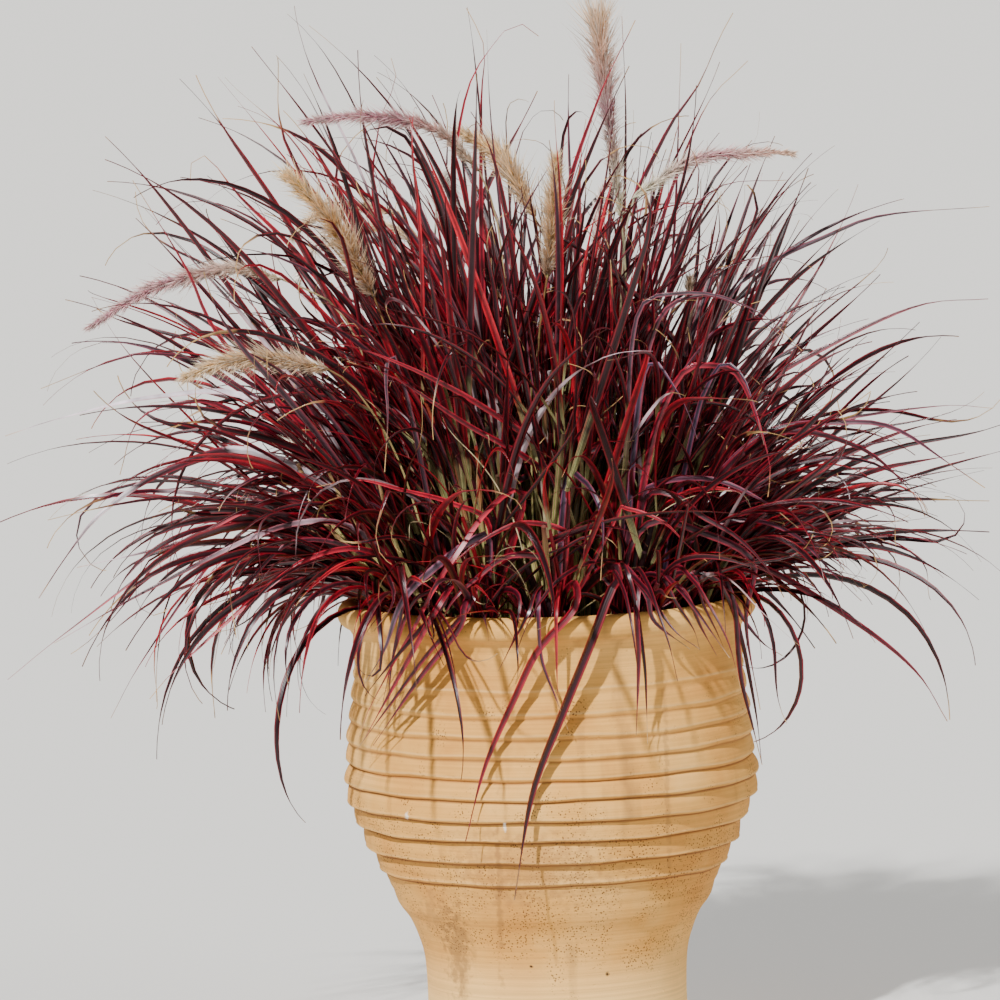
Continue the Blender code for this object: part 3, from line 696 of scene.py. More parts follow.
def makeSoil(soilFinish, strawFinish):
    rng = np.random.default_rng(3)
    wall = pot["innerWall"]
    profile = [(r, soil["top"]) for r in np.linspace(0, soil["flatRadius"], 24)]
    profile += [(soil["flatRadius"] + 8, soil["top"] - 2), (192.2, soil["edge"])]
    profile += [(r - soil["wallGap"], z) for r, z in wall if z < soil["edge"] and z > 30]
    profile += [(116.4, pot["baseThickness"] + 0.3), (0.0, pot["baseThickness"] + 0.3)]
    bm = bmesh.new()
    verts = [bm.verts.new((r * mm, 0, z * mm)) for r, z in profile]
    edges = [bm.edges.new(pair) for pair in zip(verts, verts[1:])]
    bmesh.ops.spin(bm, geom=verts + edges, cent=(0, 0, 0), axis=(0, 0, 1), angle=math.tau,
                   steps=soil["steps"], use_merge=True)
    bmesh.ops.remove_doubles(bm, verts=bm.verts, dist=0.00002)
    bmesh.ops.recalc_face_normals(bm, faces=bm.faces)
    ground, faces = asArrays(bm)
    radius = np.hypot(ground[:, 0], ground[:, 1])
    onTop = (ground[:, 2] > (soil["edge"] - 1) * mm) & (radius < 0.191)
    bumps = (np.sin(ground[:, 0] * 210) * np.sin(ground[:, 1] * 190 + 1) + 0.6 * np.sin(ground[:, 0] * 480 + 2)
             * np.sin(ground[:, 1] * 520))
    ground[:, 2] += np.where(onTop, bumps * soil["lumps"] * mm * 0.5, 0)
    parts = [{"points": ground[None], "faces": faces, "finish": 0, "tint": (0.02, 0.014, 0.01),
              "along": 0.0, "across": 0.0}]

    bm = bmesh.new()
    bmesh.ops.create_icosphere(bm, subdivisions=1, radius=1)
    crumb = asArrays(bm)
    count = soil["crumbs"]
    reach = np.sqrt(rng.uniform(0, 1, count)) * 0.186
    angle = rng.uniform(0, math.tau, count)
    places = np.stack([reach * np.cos(angle), reach * np.sin(angle), np.full(count, soil["top"] * mm)], axis=1)
    places[:, 2] -= np.clip((reach - 0.176) / 0.012, 0, 1) * 5 * mm
    size = rng.uniform(*soil["crumbSize"], count) * mm
    crumbs = scatter(crumb, places, rng.normal(size=(count, 3)), size, size * rng.uniform(0.6, 1.1, count),
                     rng.uniform(0, math.tau, count))
    parts.append({"points": crumbs, "faces": crumb[1], "finish": 0, "tint": (0.02, 0.014, 0.01),
                  "along": 0.0, "across": 0.0})
    piece = joinParts("pottingSoil", parts, [soilFinish, strawFinish], sharp=60)
    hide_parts("soil")


# Leaves

# Each ring of tufts nests in the next, as the jets of a fountain do. Lean is the angle from upright at the foot
# and droop the angle at the tip. Lengths are in millimetres, angles in degrees.
# The higher fewLong is, the fewer blades reach the full length.
grass = {
    "rings": (
        {"tufts": 4, "radius": 40, "turn": 12, "lean": 6, "droop": 42, "length": 580, "spread": 55, "sway": 0,
         "leaves": 118, "wide": 0.8, "culms": 20, "culmLength": (190, 330), "green": 0.95, "short": 0.42, "bend": (1.1, 2.6),
         "from": 0.52, "fewLong": 2.0},
        {"tufts": 8, "radius": 82, "turn": 5, "lean": 15, "droop": 64, "length": 580, "spread": 30, "sway": 0,
         "leaves": 108, "wide": 0.86, "culms": 14, "culmLength": (170, 290), "green": 0.85, "short": 0.40, "bend": (1.0, 2.5),
         "from": 0.5, "fewLong": 2.1},
        {"tufts": 11, "radius": 120, "turn": 15.5, "lean": 25, "droop": 98, "length": 520, "spread": 24, "sway": 9,
         "leaves": 78, "wide": 0.95, "culms": 7, "culmLength": (80, 190), "green": 0.40, "short": 0.44, "bend": (0.9, 2.2),
         "from": 0.2, "fewLong": 2.3},
        {"tufts": 12, "radius": 154, "turn": 3, "lean": 34, "droop": 132, "length": 460, "spread": 22, "sway": 14,
         "leaves": 64, "wide": 1.0, "culms": 5, "culmLength": (40, 100), "green": 0.10, "short": 0.48, "bend": (0.8, 1.8),
         "from": 0.12, "fewLong": 1.9},
    ),
    "leftReach": 0.10,             # the clump reaches this share further to the left
    "leftDroop": 13,               # and its blades bend this much further over there
    "wild": 0.30,                  # share of blades that stray from their tuft's way
    "footHeight": 443.3,           # where the feet stand on the soil
    "footRadius": 15.0,
    "culmRadius": (2.2, 4.2),
    "width": (6.2, 10.0),
    "fold": 0.42,                  # depth of the blade's channel, as a share of its half width
    "thickness": 0.13,
    "twist": 60,
    "curlFrom": 0.72,              # where along a blade its dry tip starts to curl
    "curly": 0.32,                 # share of blades that have such a tip
    "tipCurl": 85,
    "tipSwing": 60,
    "heroFace": (-0.35, -0.85, 0.4),    # the way that the listed blades face
    "azimuthNoise": 24,
    "leanNoise": 9,
    "droopNoise": 23,
    "potClearance": 3.0,
    # Tufts that have only a share of their ring's blades, so that the culms behind them show
    "frontTufts": {32: 0.22, 33: 0.05, 34: 0.22, 20: 0.22, 21: 0.06, 22: 0.22, 10: 0.8, 11: 0.4, 12: 0.8, 4: 0.7},
    "threads": 3,                  # dry threads in each tuft
    "seed": 17,
    # Blade colours with the share of blades that have each, and how much likelier it is on the right
    "colours": (
        ("1E050A", 0.24, 1.2), ("380812", 0.23, 1.2), ("5A0A18", 0.18, 0.8), ("860E1E", 0.13, 0.6),
        # D8C4CA stands for a painted silvery highlight, and is likelier on the left
        ("AE1424", 0.08, 0.5), ("34161E", 0.08, 2.2), ("503440", 0.045, 2.4), ("D8C4CA", 0.035, 0.5),
    ),
    "straw": ("B79A6A", "8A6A42", "D2BE90", "6A4A30"),
}

# Where along a blade its sections stand, as shares: closer together towards the tip, which curls
bladeSteps = 64
bladePicks = np.rint(bladeSteps * (1 - (1 - np.linspace(0, 1, 19)) ** 1.35)).astype(int)
bladeShares = bladePicks / bladeSteps
heroPicks = np.linspace(0, bladeSteps, 33).astype(int)
heroShares = heroPicks / bladeSteps
culmShares = np.linspace(0, 1, 13)

# Blades that stand out in the clump, given one by one. For each tuft: half width in millimetres, colour, and the
# points of its route in millimetres
heroBlades = {
    1: (
        (2.6, "701424", ((40, 10, 460), (64, 0, 677), (90, 0, 839), (100, 0, 995), (99, 0, 1112))),
        (3.8, "8E162A", ((40, 10, 460), (21, -60, 685), (27, -72, 891), (67, -76, 1020),
            (112, -80, 1111))),
        (3.8, "5A1020", ((45, 5, 460), (54, -20, 701), (80, -20, 852), (141, -20, 983),
            (178, -20, 1035), (202, -20, 1085), (218, -20, 1113))),
    ),
    2: (
        (3.2, "8A1A2C", ((-30, 30, 460), (-55, 30, 677), (-59, 33, 851), (-55, 40, 1018),
            (-50, 43, 1080), (-68, 50, 1123))),
        (3.2, "A01A2E", ((-30, 30, 460), (-68, 0, 681), (-90, 3, 887), (-72, 9, 1028), (-34, 14, 1092),
            (-11, 17, 1106), (9, 20, 1092))),
    ),
    5: (
        (2.2, "6A2434", ((82, 10, 460), (118, 45, 670), (147, 53, 843), (160, 57, 1026), (163, 60, 1078))),
        (2.8, "701828", ((82, 10, 460), (108, 30, 694), (128, 36, 856), (183, 48, 1001), (235, 60, 1057))),
    ),
    9: (
        (3.8, "A8182C", ((-70, 30, 460), (-130, 25, 660), (-241, 23, 842), (-318, 30, 927),
            (-350, 33, 969), (-368, 37, 970), (-372, 40, 945))),
        (2.8, "6A2434", ((-70, 30, 460), (-150, 40, 680), (-265, 57, 860), (-326, 70, 911),
            (-381, 77, 920), (-412, 83, 896))),
        (2.6, "8A1A2C", ((-60, 50, 460), (-120, 50, 677), (-172, 52, 896), (-167, 54, 994),
            (-147, 56, 1046), (-151, 60, 1071))),
    ),
    10: (
        (3.0, "A01C30", ((-75, -20, 460), (-190, -45, 610), (-334, -80, 774), (-375, -100, 862),
            (-428, -120, 958))),
    ),
    12: (
        (2.8, "C01C30", ((63, -53, 460), (76, -90, 613), (71, -95, 645), (70, -100, 725),
            (78, -105, 803), (74, -110, 883), (69, -112, 932))),
        (4.2, "2A0812", ((63, -53, 460), (103, -110, 687), (102, -125, 786), (97, -130, 823),
            (80, -134, 855), (59, -138, 886), (40, -140, 906))),
    ),
    13: (
        (2.8, "6A3040", ((115, 30, 460), (125, 55, 691), (156, 65, 864), (200, 72, 920), (274, 80, 925))),
    ),
    19: (
        (3.8, "523F4A", ((-102, -63, 460), (-136, -150, 687), (-151, -190, 756), (-159, -200, 771),
            (-164, -208, 748), (-163, -214, 705), (-168, -218, 648))),
    ),
    21: (
        (3.7, "8C1426", ((15, -119, 460), (24, -140, 627), (-4, -165, 667), (-68, -195, 716),
            (-107, -212, 741), (-146, -225, 762), (-193, -235, 782), (-234, -240, 791))),
        (3.4, "701020", ((15, -119, 460), (18, -140, 605), (-13, -165, 650), (-77, -195, 692),
            (-119, -212, 723), (-156, -225, 749), (-204, -235, 768))),
    ),
    22: (
        (3.2, "523F4A", ((77, -92, 460), (91, -150, 691), (99, -170, 780), (113, -180, 818),
            (144, -190, 826), (183, -200, 825), (217, -208, 813), (245, -215, 796), (276, -220, 764))),
        (3.6, "50445A", ((77, -92, 460), (98, -170, 671), (108, -190, 738), (121, -197, 755),
            (136, -207, 736), (152, -215, 707), (163, -220, 674))),
    ),
    23: (
        (3.2, "443C52", ((115, -35, 460), (161, -150, 678), (178, -170, 728), (194, -180, 750),
            (212, -190, 739), (224, -200, 708), (234, -205, 664))),
    ),
    24: (
        (3.4, "5A3A48", ((150, 10, 460), (160, 5, 664), (201, 8, 798), (252, 17, 840), (312, 25, 866),
            (376, 33, 887), (492, 50, 892))),
        (4.0, "6A1626", ((150, 10, 460), (170, 30, 610), (237, 44, 700), (312, 48, 745), (412, 56, 786),
            (489, 60, 791))),
        (3.2, "7A4450", ((150, 10, 460), (175, -15, 589), (247, -22, 652), (323, -24, 672),
            (432, -28, 684), (485, -30, 680))),
    ),
    # The near-white blades DCD0D8 and D0BEC6 are painted silvery highlights
    30: (
        (2.6, "5E2434", ((-145, -10, 460), (-215, -35, 640), (-328, -56, 743), (-413, -68, 768),
            (-464, -74, 760), (-535, -80, 735))),
        (4.2, "DCD0D8", ((-145, -20, 460), (-200, -45, 610), (-308, -67, 715), (-410, -80, 723),
            (-514, -93, 704), (-574, -100, 687))),
        (3.4, "7A1C2E", ((-145, 0, 460), (-210, -10, 600), (-332, -20, 699), (-387, -20, 710),
            (-435, -20, 692), (-456, -20, 634))),
        (3.4, "D0BEC6", ((-145, -10, 460), (-200, -3, 545), (-290, -2, 579), (-423, -6, 550),
            (-506, -10, 534))),
        (2.8, "6A2838", ((-145, 0, 460), (-200, -40, 565), (-285, -68, 590), (-353, -76, 548),
            (-435, -92, 441), (-471, -100, 380))),
    ),
    # The near-white blades E4DCE2 and B89CA6 are painted silvery highlights
    31: (
        (4.4, "E4DCE2", ((-130, -80, 460), (-190, -95, 590), (-310, -110, 664), (-400, -125, 648),
            (-469, -140, 608), (-509, -150, 563), (-541, -160, 518))),
        (4.2, "8E1A2C", ((-130, -80, 460), (-185, -110, 580), (-260, -130, 618), (-367, -150, 580),
            (-512, -170, 482), (-576, -180, 434))),
        (3.4, "B89CA6", ((-130, -80, 460), (-190, -130, 570), (-274, -152, 588), (-412, -176, 531),
            (-524, -200, 474))),
        (3.4, "A01C2E", ((-130, -80, 460), (-175, -145, 550), (-240, -172, 558), (-303, -184, 520),
            (-395, -208, 444), (-424, -220, 414))),
        (2.6, "5A2030", ((-130, -80, 460), (-190, -140, 550), (-264, -163, 572), (-314, -175, 533),
            (-344, -188, 490), (-356, -200, 443))),
    ),
    32: (
        (4.2, "8E142A", ((-72, -138, 460), (-80, -160, 520), (-95, -190, 528), (-118, -217, 500),
            (-150, -188, 443), (-200, -136, 353))),
        (3.8, "5A1426", ((-66, -138, 460), (-76, -185, 512), (-88, -222, 505), (-94, -221, 480),
            (-138, -198, 425), (-190, -153, 349))),
        (3.4, "3A0A18", ((-60, -140, 460), (-50, -180, 512), (-30, -220, 512), (-35, -235, 475),
            (-49, -234, 441))),
        (4.6, "A01A2E", ((-70, -137, 460), (-25, -160, 598), (-32, -175, 621), (-64, -195, 598),
            (-91, -210, 563), (-118, -214, 525), (-138, -193, 486), (-167, -169, 436),
            (-194, -141, 385), (-205, -126, 355))),
        (4.2, "6A5064", ((-70, -137, 460), (-59, -175, 562), (-73, -190, 572), (-112, -205, 548),
            (-153, -198, 509), (-175, -163, 452), (-199, -132, 411))),
        (2.6, "5A2436", ((-70, -137, 460), (-125, -190, 533), (-149, -195, 518), (-158, -178, 479),
            (-168, -168, 433), (-173, -164, 383))),
        (3.0, "A81A2E", ((-70, -137, 460), (-58, -160, 577), (-97, -175, 608), (-150, -185, 625),
            (-197, -190, 638), (-241, -195, 632))),
        (3.8, "4A0E1C", ((-66, -138, 460), (-60, -170, 525), (-72, -204, 530), (-84, -223, 501),
            (-129, -205, 451), (-169, -176, 397), (-208, -131, 342))),
        (3.2, "2A0810", ((-72, -136, 460), (-84, -170, 522), (-104, -198, 524), (-111, -211, 504),
            (-144, -194, 468), (-175, -170, 431), (-197, -147, 402))),
        (2.8, "6A1424", ((-74, -134, 460), (-100, -160, 516), (-124, -184, 516), (-145, -186, 502),
            (-164, -172, 451), (-178, -158, 396))),
    ),
    33: (
        (6.0, "2E0812", ((0, -154, 460), (38, -168, 510), (70, -196, 540), (76, -218, 524),
            (67, -224, 515), (44, -230, 459), (12, -234, 386), (-22, -233, 301), (-44, -236, 190))),
        (4.4, "7A1022", ((6, -154, 460), (18, -176, 508), (30, -206, 522), (28, -232, 498),
            (-11, -234, 456), (-37, -231, 406), (-71, -223, 332), (-94, -219, 252))),
        (3.6, "4A2038", ((4, -150, 460), (-5, -185, 500), (-8, -212, 514), (-10, -234, 499),
            (-8, -234, 447), (5, -234, 407), (18, -233, 370))),
        (3.6, "4A3A50", ((8, -154, 460), (23, -165, 624), (39, -185, 632), (54, -205, 614),
            (61, -215, 583), (57, -216, 526))),
        (2.6, "9A1424", ((8, -154, 460), (14, -190, 520), (9, -234, 496), (8, -234, 447), (8, -234, 398))),
        (2.6, "A01C2C", ((8, -154, 460), (74, -190, 587), (85, -200, 600), (124, -215, 587),
            (150, -222, 561), (170, -225, 544))),
        (3.0, "9A1A2C", ((8, -154, 460), (23, -180, 560), (16, -195, 580), (-20, -210, 589),
            (-46, -215, 583), (-86, -222, 560), (-114, -225, 531))),
        (3.6, "5E1424", ((8, -154, 460), (7, -185, 538), (-5, -200, 551), (-42, -215, 554),
            (-74, -222, 533), (-100, -230, 510), (-120, -209, 473))),
        (3.2, "26060E", ((2, -154, 460), (-2, -182, 512), (-12, -214, 516), (-21, -233, 494),
            (-38, -231, 464), (-54, -228, 434))),
    ),
    34: (
        (3.8, "5A1628", ((80, -135, 460), (92, -165, 515), (97, -202, 522), (94, -219, 490),
            (95, -223, 443), (90, -224, 361))),
        (3.6, "4A2030", ((75, -135, 460), (80, -160, 520), (83, -197, 538), (105, -220, 510),
            (113, -213, 480), (150, -189, 447))),
        (3.4, "5A1A2A", ((90, -130, 460), (115, -155, 515), (144, -188, 510), (163, -174, 468),
            (179, -160, 436))),
        (3.6, "6E3A48", ((80, -130, 460), (100, -140, 680), (126, -150, 793), (169, -160, 821),
            (215, -170, 809), (255, -180, 778))),
        (4.0, "8A1A2E", ((85, -130, 460), (110, -155, 640), (146, -165, 734), (182, -170, 747),
            (213, -175, 730), (239, -185, 648), (237, -190, 607))),
        (4.2, "4A1424", ((80, -135, 460), (87, -165, 545), (115, -176, 583), (162, -181, 572),
            (219, -187, 539), (211, -157, 470), (224, -156, 376))),
        (3.8, "3A0E1A", ((84, -129, 460), (104, -170, 595), (121, -185, 615), (148, -195, 607),
            (163, -200, 592), (202, -210, 568), (232, -215, 536), (251, -205, 501))),
        (3.8, "5A3446", ((84, -129, 460), (104, -150, 598), (120, -160, 621), (152, -175, 628),
            (190, -185, 624), (234, -195, 602), (268, -200, 574))),
        (3.4, "30101A", ((70, -138, 460), (76, -170, 530), (84, -204, 536), (93, -215, 502),
            (101, -211, 436), (102, -211, 393), (102, -215, 350))),
        (3.0, "3A1420", ((80, -136, 460), (100, -165, 520), (122, -190, 524), (136, -190, 498),
            (155, -175, 466), (161, -170, 443))),
        (2.8, "4A1A28", ((96, -128, 460), (130, -160, 520), (156, -176, 524), (166, -165, 492),
            (180, -150, 460), (190, -137, 435))),
        (3.2, "2A0A14", ((96, -128, 460), (140, -150, 518), (176, -160, 520), (196, -128, 487),
            (208, -107, 444), (216, -90, 399), (223, -71, 351), (226, -81, 309))),
        (3.0, "3A1420", ((76, -136, 460), (83, -190, 527), (102, -236, 520), (116, -262, 500),
            (135, -280, 475), (158, -292, 459))),
        (2.8, "4A1A28", ((92, -130, 460), (115, -176, 528), (136, -220, 519), (155, -248, 497),
            (174, -268, 470), (190, -280, 447))),
        (2.6, "2A0A14", ((84, -134, 460), (94, -200, 533), (106, -250, 525), (114, -280, 504),
            (126, -300, 466), (134, -306, 427))),
        (2.6, "5A1424", ((98, -126, 460), (133, -190, 533), (154, -236, 526), (170, -262, 502),
            (189, -282, 463), (200, -290, 417))),
        (2.4, "3A0E1A", ((70, -138, 460), (70, -196, 531), (80, -252, 521), (86, -280, 496),
            (91, -296, 456), (94, -300, 413))),
    ),
    35: (
        (4.2, "5E3444", ((130, -90, 460), (165, -110, 590), (237, -115, 667), (329, -125, 678),
            (379, -130, 669), (431, -135, 633), (470, -140, 605))),
        (4.0, "46101E", ((130, -90, 460), (169, -115, 595), (247, -125, 668), (337, -135, 652),
            (391, -145, 604), (405, -150, 577))),
        (3.6, "701A2A", ((130, -90, 460), (167, -100, 535), (232, -103, 523), (332, -109, 460),
            (393, -114, 407), (425, -120, 353))),
        (3.6, "4A2434", ((130, -90, 460), (157, -145, 559), (212, -158, 580), (265, -165, 563),
            (307, -172, 519), (334, -180, 492))),
        (3.2, "3A1020", ((137, -70, 460), (167, -110, 533), (186, -125, 521), (200, -132, 485),
            (205, -118, 410), (218, -86, 347), (227, -66, 305))),
        (3.2, "4A2438", ((137, -70, 460), (172, -120, 517), (190, -128, 507), (209, -126, 471),
            (230, -110, 442), (251, -95, 426))),
    ),
}

# Culms given one by one, a fan of them on the left: radius, and the points of the route, in millimetres
heroCulms = {
    31: (
        (3.2, ((-126, -84, 446), (-170, -100, 505), (-208, -112, 556), (-240, -118, 606), (-262, -120, 650))),
        (2.8, ((-122, -88, 446), (-158, -104, 505), (-190, -118, 560), (-216, -126, 610), (-234, -130, 655))),
        (3.0, ((-130, -80, 446), (-180, -94, 500), (-222, -104, 545), (-262, -110, 590))),
        (2.6, ((-118, -90, 446), (-140, -108, 510), (-162, -122, 570), (-178, -130, 640))),
        (2.4, ((-124, -86, 446), (-164, -108, 500), (-200, -124, 548), (-238, -132, 590))),
    ),
}


def smoothStep(t):
    t = np.clip(t, 0, 1)
    return t * t * (3 - 2 * t)


# Centre lines of blades that leave their feet at one angle from upright and bend over to another
def arches(starts, azimuth, lean, droop, length, bend, swing, curl, turn, steps):
    s = (np.arange(steps) + 0.5) / steps
    late = np.clip((s - grass["curlFrom"]) / (1 - grass["curlFrom"]), 0, 1) ** 1.5
    tilt = lean[:, None] + (droop - lean)[:, None] * s ** bend[:, None] + curl[:, None] * late
    way = azimuth[:, None] + swing[:, None] * s ** 1.5 + turn[:, None] * late
    heading = np.stack([np.cos(way) * np.sin(tilt), np.sin(way) * np.sin(tilt), np.cos(tilt)], axis=2)
    walk = np.cumsum(heading * (length[:, None, None] / steps), axis=1)
    return np.concatenate([starts[:, None], starts[:, None] + walk], axis=1)


# The pot's outer radius at a height, with the rolled rim as its own ring
def cutsPot(lines):
    clear = grass["potClearance"] * mm
    radius = np.hypot(lines[..., 0], lines[..., 1])
    height = lines[..., 2]
    rim = np.hypot(radius - pot["rimRadius"] * mm, height - pot["rimHeight"] * mm) < pot["rimRoll"] * mm + clear
    crests = np.array([(z, r) for r, z, _, _ in reversed(pot["ridges"])] + [(460, 211)]) * mm
    foot = np.array([(z, r) for r, z in reversed(pot["waist"])]) * mm
    outline = np.concatenate([foot, crests])
    outside = np.interp(height, outline[:, 0], outline[:, 1])
    wall = (height < pot["rimHeight"] * mm) & (radius < outside + clear) & (radius > 0.189)
    below = (height < (soil["top"] - 4) * mm) & (radius <= 0.192)
    return (rim | wall | below).any(axis=1)


def outsideBox(lines):
    low, high = np.array(cadBox[0]), np.array(cadBox[1])
    grow = 6 * mm
    return ((lines < low - grow) | (lines > high + grow)).any(axis=(1, 2)) | (lines[..., 2] < 0.02).any(axis=1)


def bladeShape(shares):
    points, faces = prism(4, len(shares) - 1)
    across = points[:, 0].copy()
    fold, thickness = grass["fold"], grass["thickness"]
    points[:, 1] = np.where(points[:, 1] > 0.5, -fold, np.where(points[:, 1] < -0.5, -fold - thickness, 0))
    return points, faces, across, shares


# Width along a blade: narrower at its foot, full by a fifth, then a long taper to a thread
def bladeWidths(s):
    return (0.6 + 0.4 * smoothStep(s / 0.2)) * np.maximum(1 - (s / 0.93) ** 4.6, 0.13)


# Right is 1 for a tuft that faces right and 0 for one that faces left
def pickColours(rng, count, right):
    shares = np.array([share * (1 + (more - 1) * right) for _, share, more in grass["colours"]])
    palette = np.array([linear(colour) for colour, _, _ in grass["colours"]])
    picked = palette[rng.choice(len(palette), count, p=shares / shares.sum())]
    return picked * rng.uniform(0.55, 1.2, (count, 1))


def bladePart(rng, blade, centres, side, halfWidth, tints, finish, twist, dry, green=0.0):
    points, faces, across, shares = blade
    count = len(centres)
    size = halfWidth[:, None] * bladeWidths(shares)[None]
    start = rng.normal(0, twist * 0.7, count)[:, None]
    turn = start + rng.normal(0, twist, count)[:, None] * shares[None] ** 1.3
    placed = sweep((points, faces), centres, side, size, turn)
    along = shares[np.rint(points[:, 2] * (len(shares) - 1)).astype(int)]
    return {"points": placed, "faces": faces, "finish": finish, "tint": tints[:, None, :],
            "along": along[None], "across": across[None],
            "green": (rng.uniform(0, 1, count) < green)[:, None] * 1.0, "dry": dry[:, None]}


# Random blades that keep clear of the pot and of the model's box
def growBlades(rng, ring, facing, culms, count, front):
    kept = []
    total = 0
    reach = 1 - grass["leftReach"] * math.cos(facing)
    sway = math.radians(ring["swayNow"] - grass["leftDroop"] * math.cos(facing))
    while total < count:
        n = count * 3
        culm = rng.integers(0, len(culms["azimuth"]), n)
        raised = rng.uniform(ring["from"], 1, n)
        starts = culms["lines"][culm, np.rint(raised * (len(culmShares) - 1)).astype(int)]
        stray = np.where(rng.uniform(0, 1, n) < grass["wild"], 2.8, 1.0)
        azimuth = culms["azimuth"][culm] + rng.normal(0, math.radians(grass["azimuthNoise"]), n) * stray
        lean = culms["lean"][culm] + np.abs(rng.normal(math.radians(5), math.radians(grass["leanNoise"]), n))
        droop = math.radians(ring["droop"]) + sway + rng.normal(0, math.radians(grass["droopNoise"]), n) * stray
        droop = np.maximum(droop, lean + math.radians(4))
        share = ring["short"] + (1 - ring["short"]) * rng.uniform(0, 1, n) ** ring["fewLong"]
        length = ring["length"] * mm * reach * share - raised * culms["length"][culm] * 0.55
        if front:
            length = length * rng.uniform(0.4, 0.8, n)
        swing = rng.normal(0, math.radians(26), n)
        curly = np.where(rng.uniform(0, 1, n) < grass["curly"], 1.0, 0.15)
        curl = rng.normal(0, math.radians(grass["tipCurl"]), n) * curly
        turn = rng.normal(0, math.radians(grass["tipSwing"]), n) * curly
        lines = arches(starts, azimuth, lean, droop, length, rng.uniform(*ring["bend"], n), swing, curl, turn,
                       bladeSteps)
        good = ~(cutsPot(lines[:, 2:]) | outsideBox(lines)) & (length > 0.08)
        kept.append((lines[good][:, bladePicks], azimuth[good], length[good], curly[good] * rng.uniform(0.3, 1, n)[good]))
        total += int(good.sum())
    return [np.concatenate(values)[:count] for values in zip(*kept)]


def growCulms(rng, ring, facing, foot):
    count = ring["culms"]
    around = rng.uniform(0, math.tau, count)
    out = np.sqrt(rng.uniform(0, 1, count)) * grass["footRadius"] * mm
    starts = foot + np.stack([out * np.cos(around), out * np.sin(around), np.zeros(count)], axis=1)
    azimuth = facing + rng.normal(0, math.radians(ring["spread"]), count)
    lean = np.abs(math.radians(ring["lean"]) + rng.normal(0, math.radians(5), count))
    length = rng.uniform(*ring["culmLength"], count) * mm
    still = np.zeros(count)
    lines = arches(starts, azimuth, lean, lean + math.radians(10), length, still + 1, still, still, still,
                   len(culmShares) - 1)
    return {"lines": lines, "azimuth": azimuth, "lean": lean, "length": length}


def makeTuft(number, ring, facing, foot, blade, hero, tube, finishes, rng):
    right = 0.5 + 0.5 * math.cos(facing)
    culms = growCulms(rng, ring, facing, foot)
    parts = []
    count = int(ring["leaves"] * grass["frontTufts"].get(number, 1))
    lines, azimuth, length, dry = growBlades(rng, ring, facing, culms, count, number in (32, 33, 34))
    half = rng.uniform(*grass["width"], count) * mm / 2 * np.clip(length / 0.34, 0.7, 1.05) * ring["wide"]
    parts.append(bladePart(rng, blade, lines, levelAcross(azimuth), half, pickColours(rng, count, right), 0,
                           math.radians(grass["twist"]), dry, ring["green"]))

    routes = heroBlades.get(number, ())
    if routes:
        lines = np.array([smoothRoute(route, heroShares) for _, _, route in routes]) * mm
        side = np.cross(np.gradient(lines, axis=1), grass["heroFace"])
        half = np.array([width for width, _, _ in routes]) * mm
        tints = np.array([linear(colour) for _, colour, _ in routes])
        parts.append(bladePart(rng, hero, lines, side, half, tints, 0, 0.3, rng.uniform(0, 0.6, len(routes))))

    # Culms in their sheaths
    points, faces = tube
    s = culmShares
    n = len(culms["lines"])
    swell = 1 + 0.28 * np.exp(-((s - 0.45) / 0.035) ** 2) + 0.25 * np.exp(-((s - 0.85) / 0.03) ** 2)
    size = rng.uniform(*grass["culmRadius"], n)[:, None] * mm * (1.15 - 0.45 * s)[None] * swell[None]
    placed = sweep((points, faces), culms["lines"], levelAcross(culms["azimuth"]), size, np.zeros_like(size))
    parts.append({"points": placed, "faces": faces, "finish": 1, "tint": pickColours(rng, n, right)[:, None],
                  "along": points[None, :, 2], "across": np.arctan2(points[:, 1], points[:, 0])[None],
                  "green": (rng.uniform(0, 1, n) < ring["green"])[:, None] * 1.0})

    routes = heroCulms.get(number, ())
    if routes:
        lines = np.array([smoothRoute(route, culmShares) for _, route in routes]) * mm
        size = np.array([radius for radius, _ in routes])[:, None] * mm * (1.15 - 0.45 * s)[None] * swell[None]
        placed = sweep((points, faces), lines, np.array((0.3, -0.9, 0.2)), size, np.zeros_like(size))
        parts.append({"points": placed, "faces": faces, "finish": 1, "tint": linear("8A2432"),
                      "along": points[None, :, 2] * 0.8, "across": np.arctan2(points[:, 1], points[:, 0])[None],
                      "green": 1.0})

    # Dry threads
    n = grass["threads"]
    pick = rng.integers(0, len(culms["lines"]), n)
    starts = culms["lines"][pick, rng.integers(2, len(culmShares), n)]
    azimuth = culms["azimuth"][pick] + rng.normal(0, 0.6, n)
    kept = []
    while sum(len(k) for k in kept) < n:
        again = rng.integers(0, n, n * 4)
        lines = arches(starts[again], azimuth[again], rng.uniform(0.1, 1.1, n * 4), rng.uniform(0.6, 2.4, n * 4),
                       rng.uniform(0.08, 0.22, n * 4) * ring["length"] / 500, rng.uniform(0.6, 1.8, n * 4),
                       rng.normal(0, 1.4, n * 4), rng.normal(0, 2.8, n * 4), rng.normal(0, 2.2, n * 4), bladeSteps)
        kept.append(lines[~(cutsPot(lines[:, 2:]) | outsideBox(lines))][:, heroPicks])
    lines = np.concatenate(kept)[:n]
    straw = np.array([linear(colour) for colour in grass["straw"]])[rng.integers(0, len(grass["straw"]), n)]
    parts.append(bladePart(rng, hero, lines, levelAcross(azimuth), rng.uniform(0.4, 0.75, n) * mm, straw, 2, 2.5,
                           np.zeros(n)))

    piece = joinParts("grassTuft%02d" % number, parts, finishes)
    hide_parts("leaf_tuft_%02d" % number)


